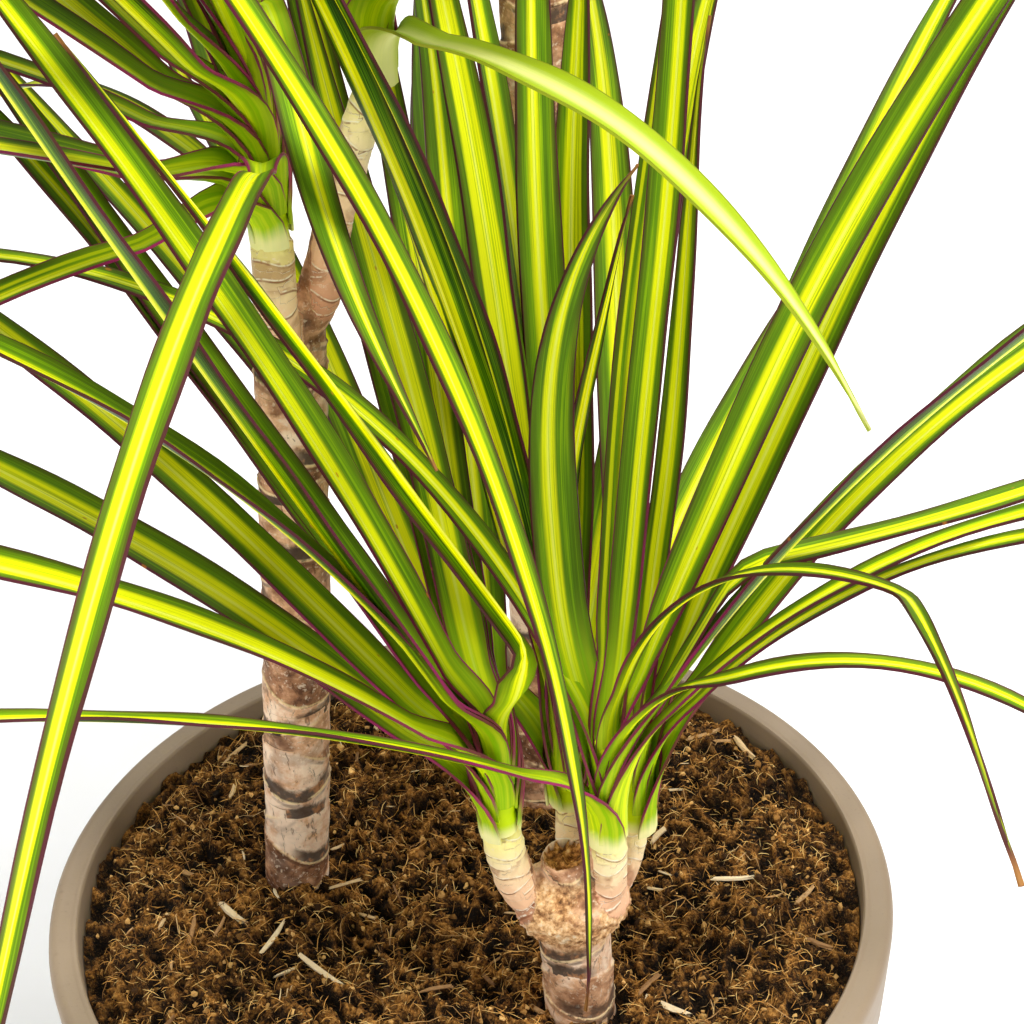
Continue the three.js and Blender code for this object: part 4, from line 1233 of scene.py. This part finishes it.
def bitFinish(name, roughness, tints):
    paint = Paint(name)
    skin = scatter["skin"]
    mottle = paint.grain(paint.place(), skin["grain"], 3, 0.6)
    shade = paint.ramp(paint.attribute("bitTone") * (1 - skin["share"]) + mottle * skin["share"], tints)
    return paint.finish(shade, roughness, skin["specular"], (mottle, skin["bump"], skin["depth"]))


def makeCrumbs():
    draw = random.Random(scatter["seed"])
    spots = scatterSpots(draw, crumbs["count"], scatter["reach"])
    heights, _ = soilTop(spots[:, 0], spots[:, 1])
    crumb = added(bpy.ops.mesh.primitive_ico_sphere_add, subdivisions=1, radius=mm)
    editMesh(crumb, lambda: bpy.ops.transform.vertex_random(offset=crumbs["jag"] * mm, seed=3))
    points = vertexPlaces(crumb)
    shapes, tones = [], []
    for (x, y), height in zip(spots, heights):
        size = mixed(*crumbs["size"], draw.random() ** crumbs["few"])
        turns = (draw.uniform(0, math.tau), "Z"), (draw.uniform(0, crumbs["tumble"]), "X")
        scale = (size, size * draw.uniform(*crumbs["slim"]), size * draw.uniform(*crumbs["flat"]))
        shapes.append(moved(points, (x, y, height + size * crumbs["sink"]), scale, *turns))
        tones.append(draw.random())
    strew("soil_crumbs", crumb, shapes, tones, crumbs)


def strandMesh(cuts, sides):  # a thin bar from -1 to 1, cut into lengths
    maker = bpy.ops.mesh.primitive_cylinder_add
    strand = added(maker, vertices=sides, radius=1, depth=2, end_fill_type="TRIFAN")
    for cut in cuts:
        editMesh(strand, lambda: bpy.ops.mesh.bisect(plane_co=(0, 0, cut), plane_no=(0, 0, 1)))
    return strand


def makeStrands(name, spec):
    draw = random.Random(spec["seed"])
    spots = scatterSpots(draw, spec["count"], scatter["reach"] - 2)
    strand = strandMesh(spec["cuts"], spec["sides"])
    outX, outZ, shares = vertexPlaces(strand).T
    rises, _ = soilTop(spots[:, 0], spots[:, 1])
    shapes, tones = [], []
    for (x, y), rise in zip(spots, rises):
        length, heading = draw.uniform(*spec["length"]), draw.uniform(0, math.tau)
        curve = draw.uniform(-1, 1) * spec["curve"]
        radius = draw.uniform(*spec["radius"])
        turn = heading + curve * shares
        middleX = x + length / 2 * shares * np.cos(heading + curve * shares / 2)
        middleY = y + length / 2 * shares * np.sin(heading + curve * shares / 2)
        inside = np.minimum(1, scatter["reach"] / np.maximum(np.hypot(middleX, middleY), 1))
        middleX, middleY = middleX * inside, middleY * inside
        slope = draw.uniform(*spec["slope"])
        arch = draw.uniform(*spec["arch"]) * (1 - shares ** 2)
        ground = soilTop(middleX, middleY)[0] if spec["hug"] else rise
        height = ground + draw.uniform(*spec["lift"]) + arch + slope * shares * length / 2
        height = np.minimum(height, soil["ceiling"] + 3)
        thin = radius * (1 - 0.75 * np.abs(shares) ** 3)
        corners = middleX - np.sin(turn) * outX * thin, middleY + np.cos(turn) * outX * thin, height + outZ * thin
        shapes.append(np.stack(corners, 1) * mm)
        tones.append(draw.random())
    strew(name, strand, shapes, tones, spec)


def makeChips():
    draw = random.Random(scatter["seed"] + 2)
    chip = added(bpy.ops.mesh.primitive_cube_add, size=2)
    editMesh(chip, lambda: bpy.ops.mesh.subdivide(number_cuts=2), lambda: bpy.ops.mesh.vertices_smooth(factor=0.25))
    points = vertexPlaces(chip)
    rough = noiseAt(points, 1.3, 2, 6.0)
    points[:, 1] *= 1 - chips["taper"] * np.abs(points[:, 0]) ** 2 * (0.7 + 0.3 * np.sign(points[:, 0]))
    points[:, 1] += chips["bow"] * points[:, 0] ** 2
    points = np.float32(points * (1 + chips["rough"] * rough[:, None]))
    rows = list(chips["splinters"])
    for x, y in scatterSpots(draw, chips["count"], scatter["reach"] - 4):
        length = mixed(*chips["length"], draw.random() ** chips["few"])
        rows.append((x, y, length, length * draw.uniform(*chips["slim"]), draw.uniform(0, 360)))
    heights, _ = soilTop(*np.array(rows)[:, :2].T)
    shapes, tones = [], []
    for index, ((x, y, length, width, turn), height) in enumerate(zip(rows, heights)):
        pitch, roll = (draw.uniform(-chips[key], chips[key]) for key in ("pitch", "roll"))
        scale = (length / 2 * mm, width / 2 * mm, width / 2 * chips["flat"] * mm)
        turns = (math.radians(turn), "Z"), (pitch, "Y"), (roll, "X")
        shapes.append(moved(points, (x, y, height + chips["lift"]), scale, *turns))
        tones.append(chips["paleTone"] if index < len(chips["splinters"]) else draw.random())
    strew("wood_chips", chip, shapes, tones, chips)


placeCamera()
lightStudio()
makeFloor()
makePot()
makeSoilBed()
makeCrumbs()
makeStrands("soil_threads", threads)
makeStrands("soil_fibres", fibres)
makeChips()
bark["finish"] = barkFinish()
for name in canes:
    makeCane(name)
flatBlade = flatGrid("flat_blade", leaf["across"], len(leafRows()) - 1)
leafPaint = leafFinish()
for name, specs in growHeads().items():
    makeHead(name, specs, flatBlade, leafPaint)
bpy.data.objects.remove(flatBlade)

deselectAll()
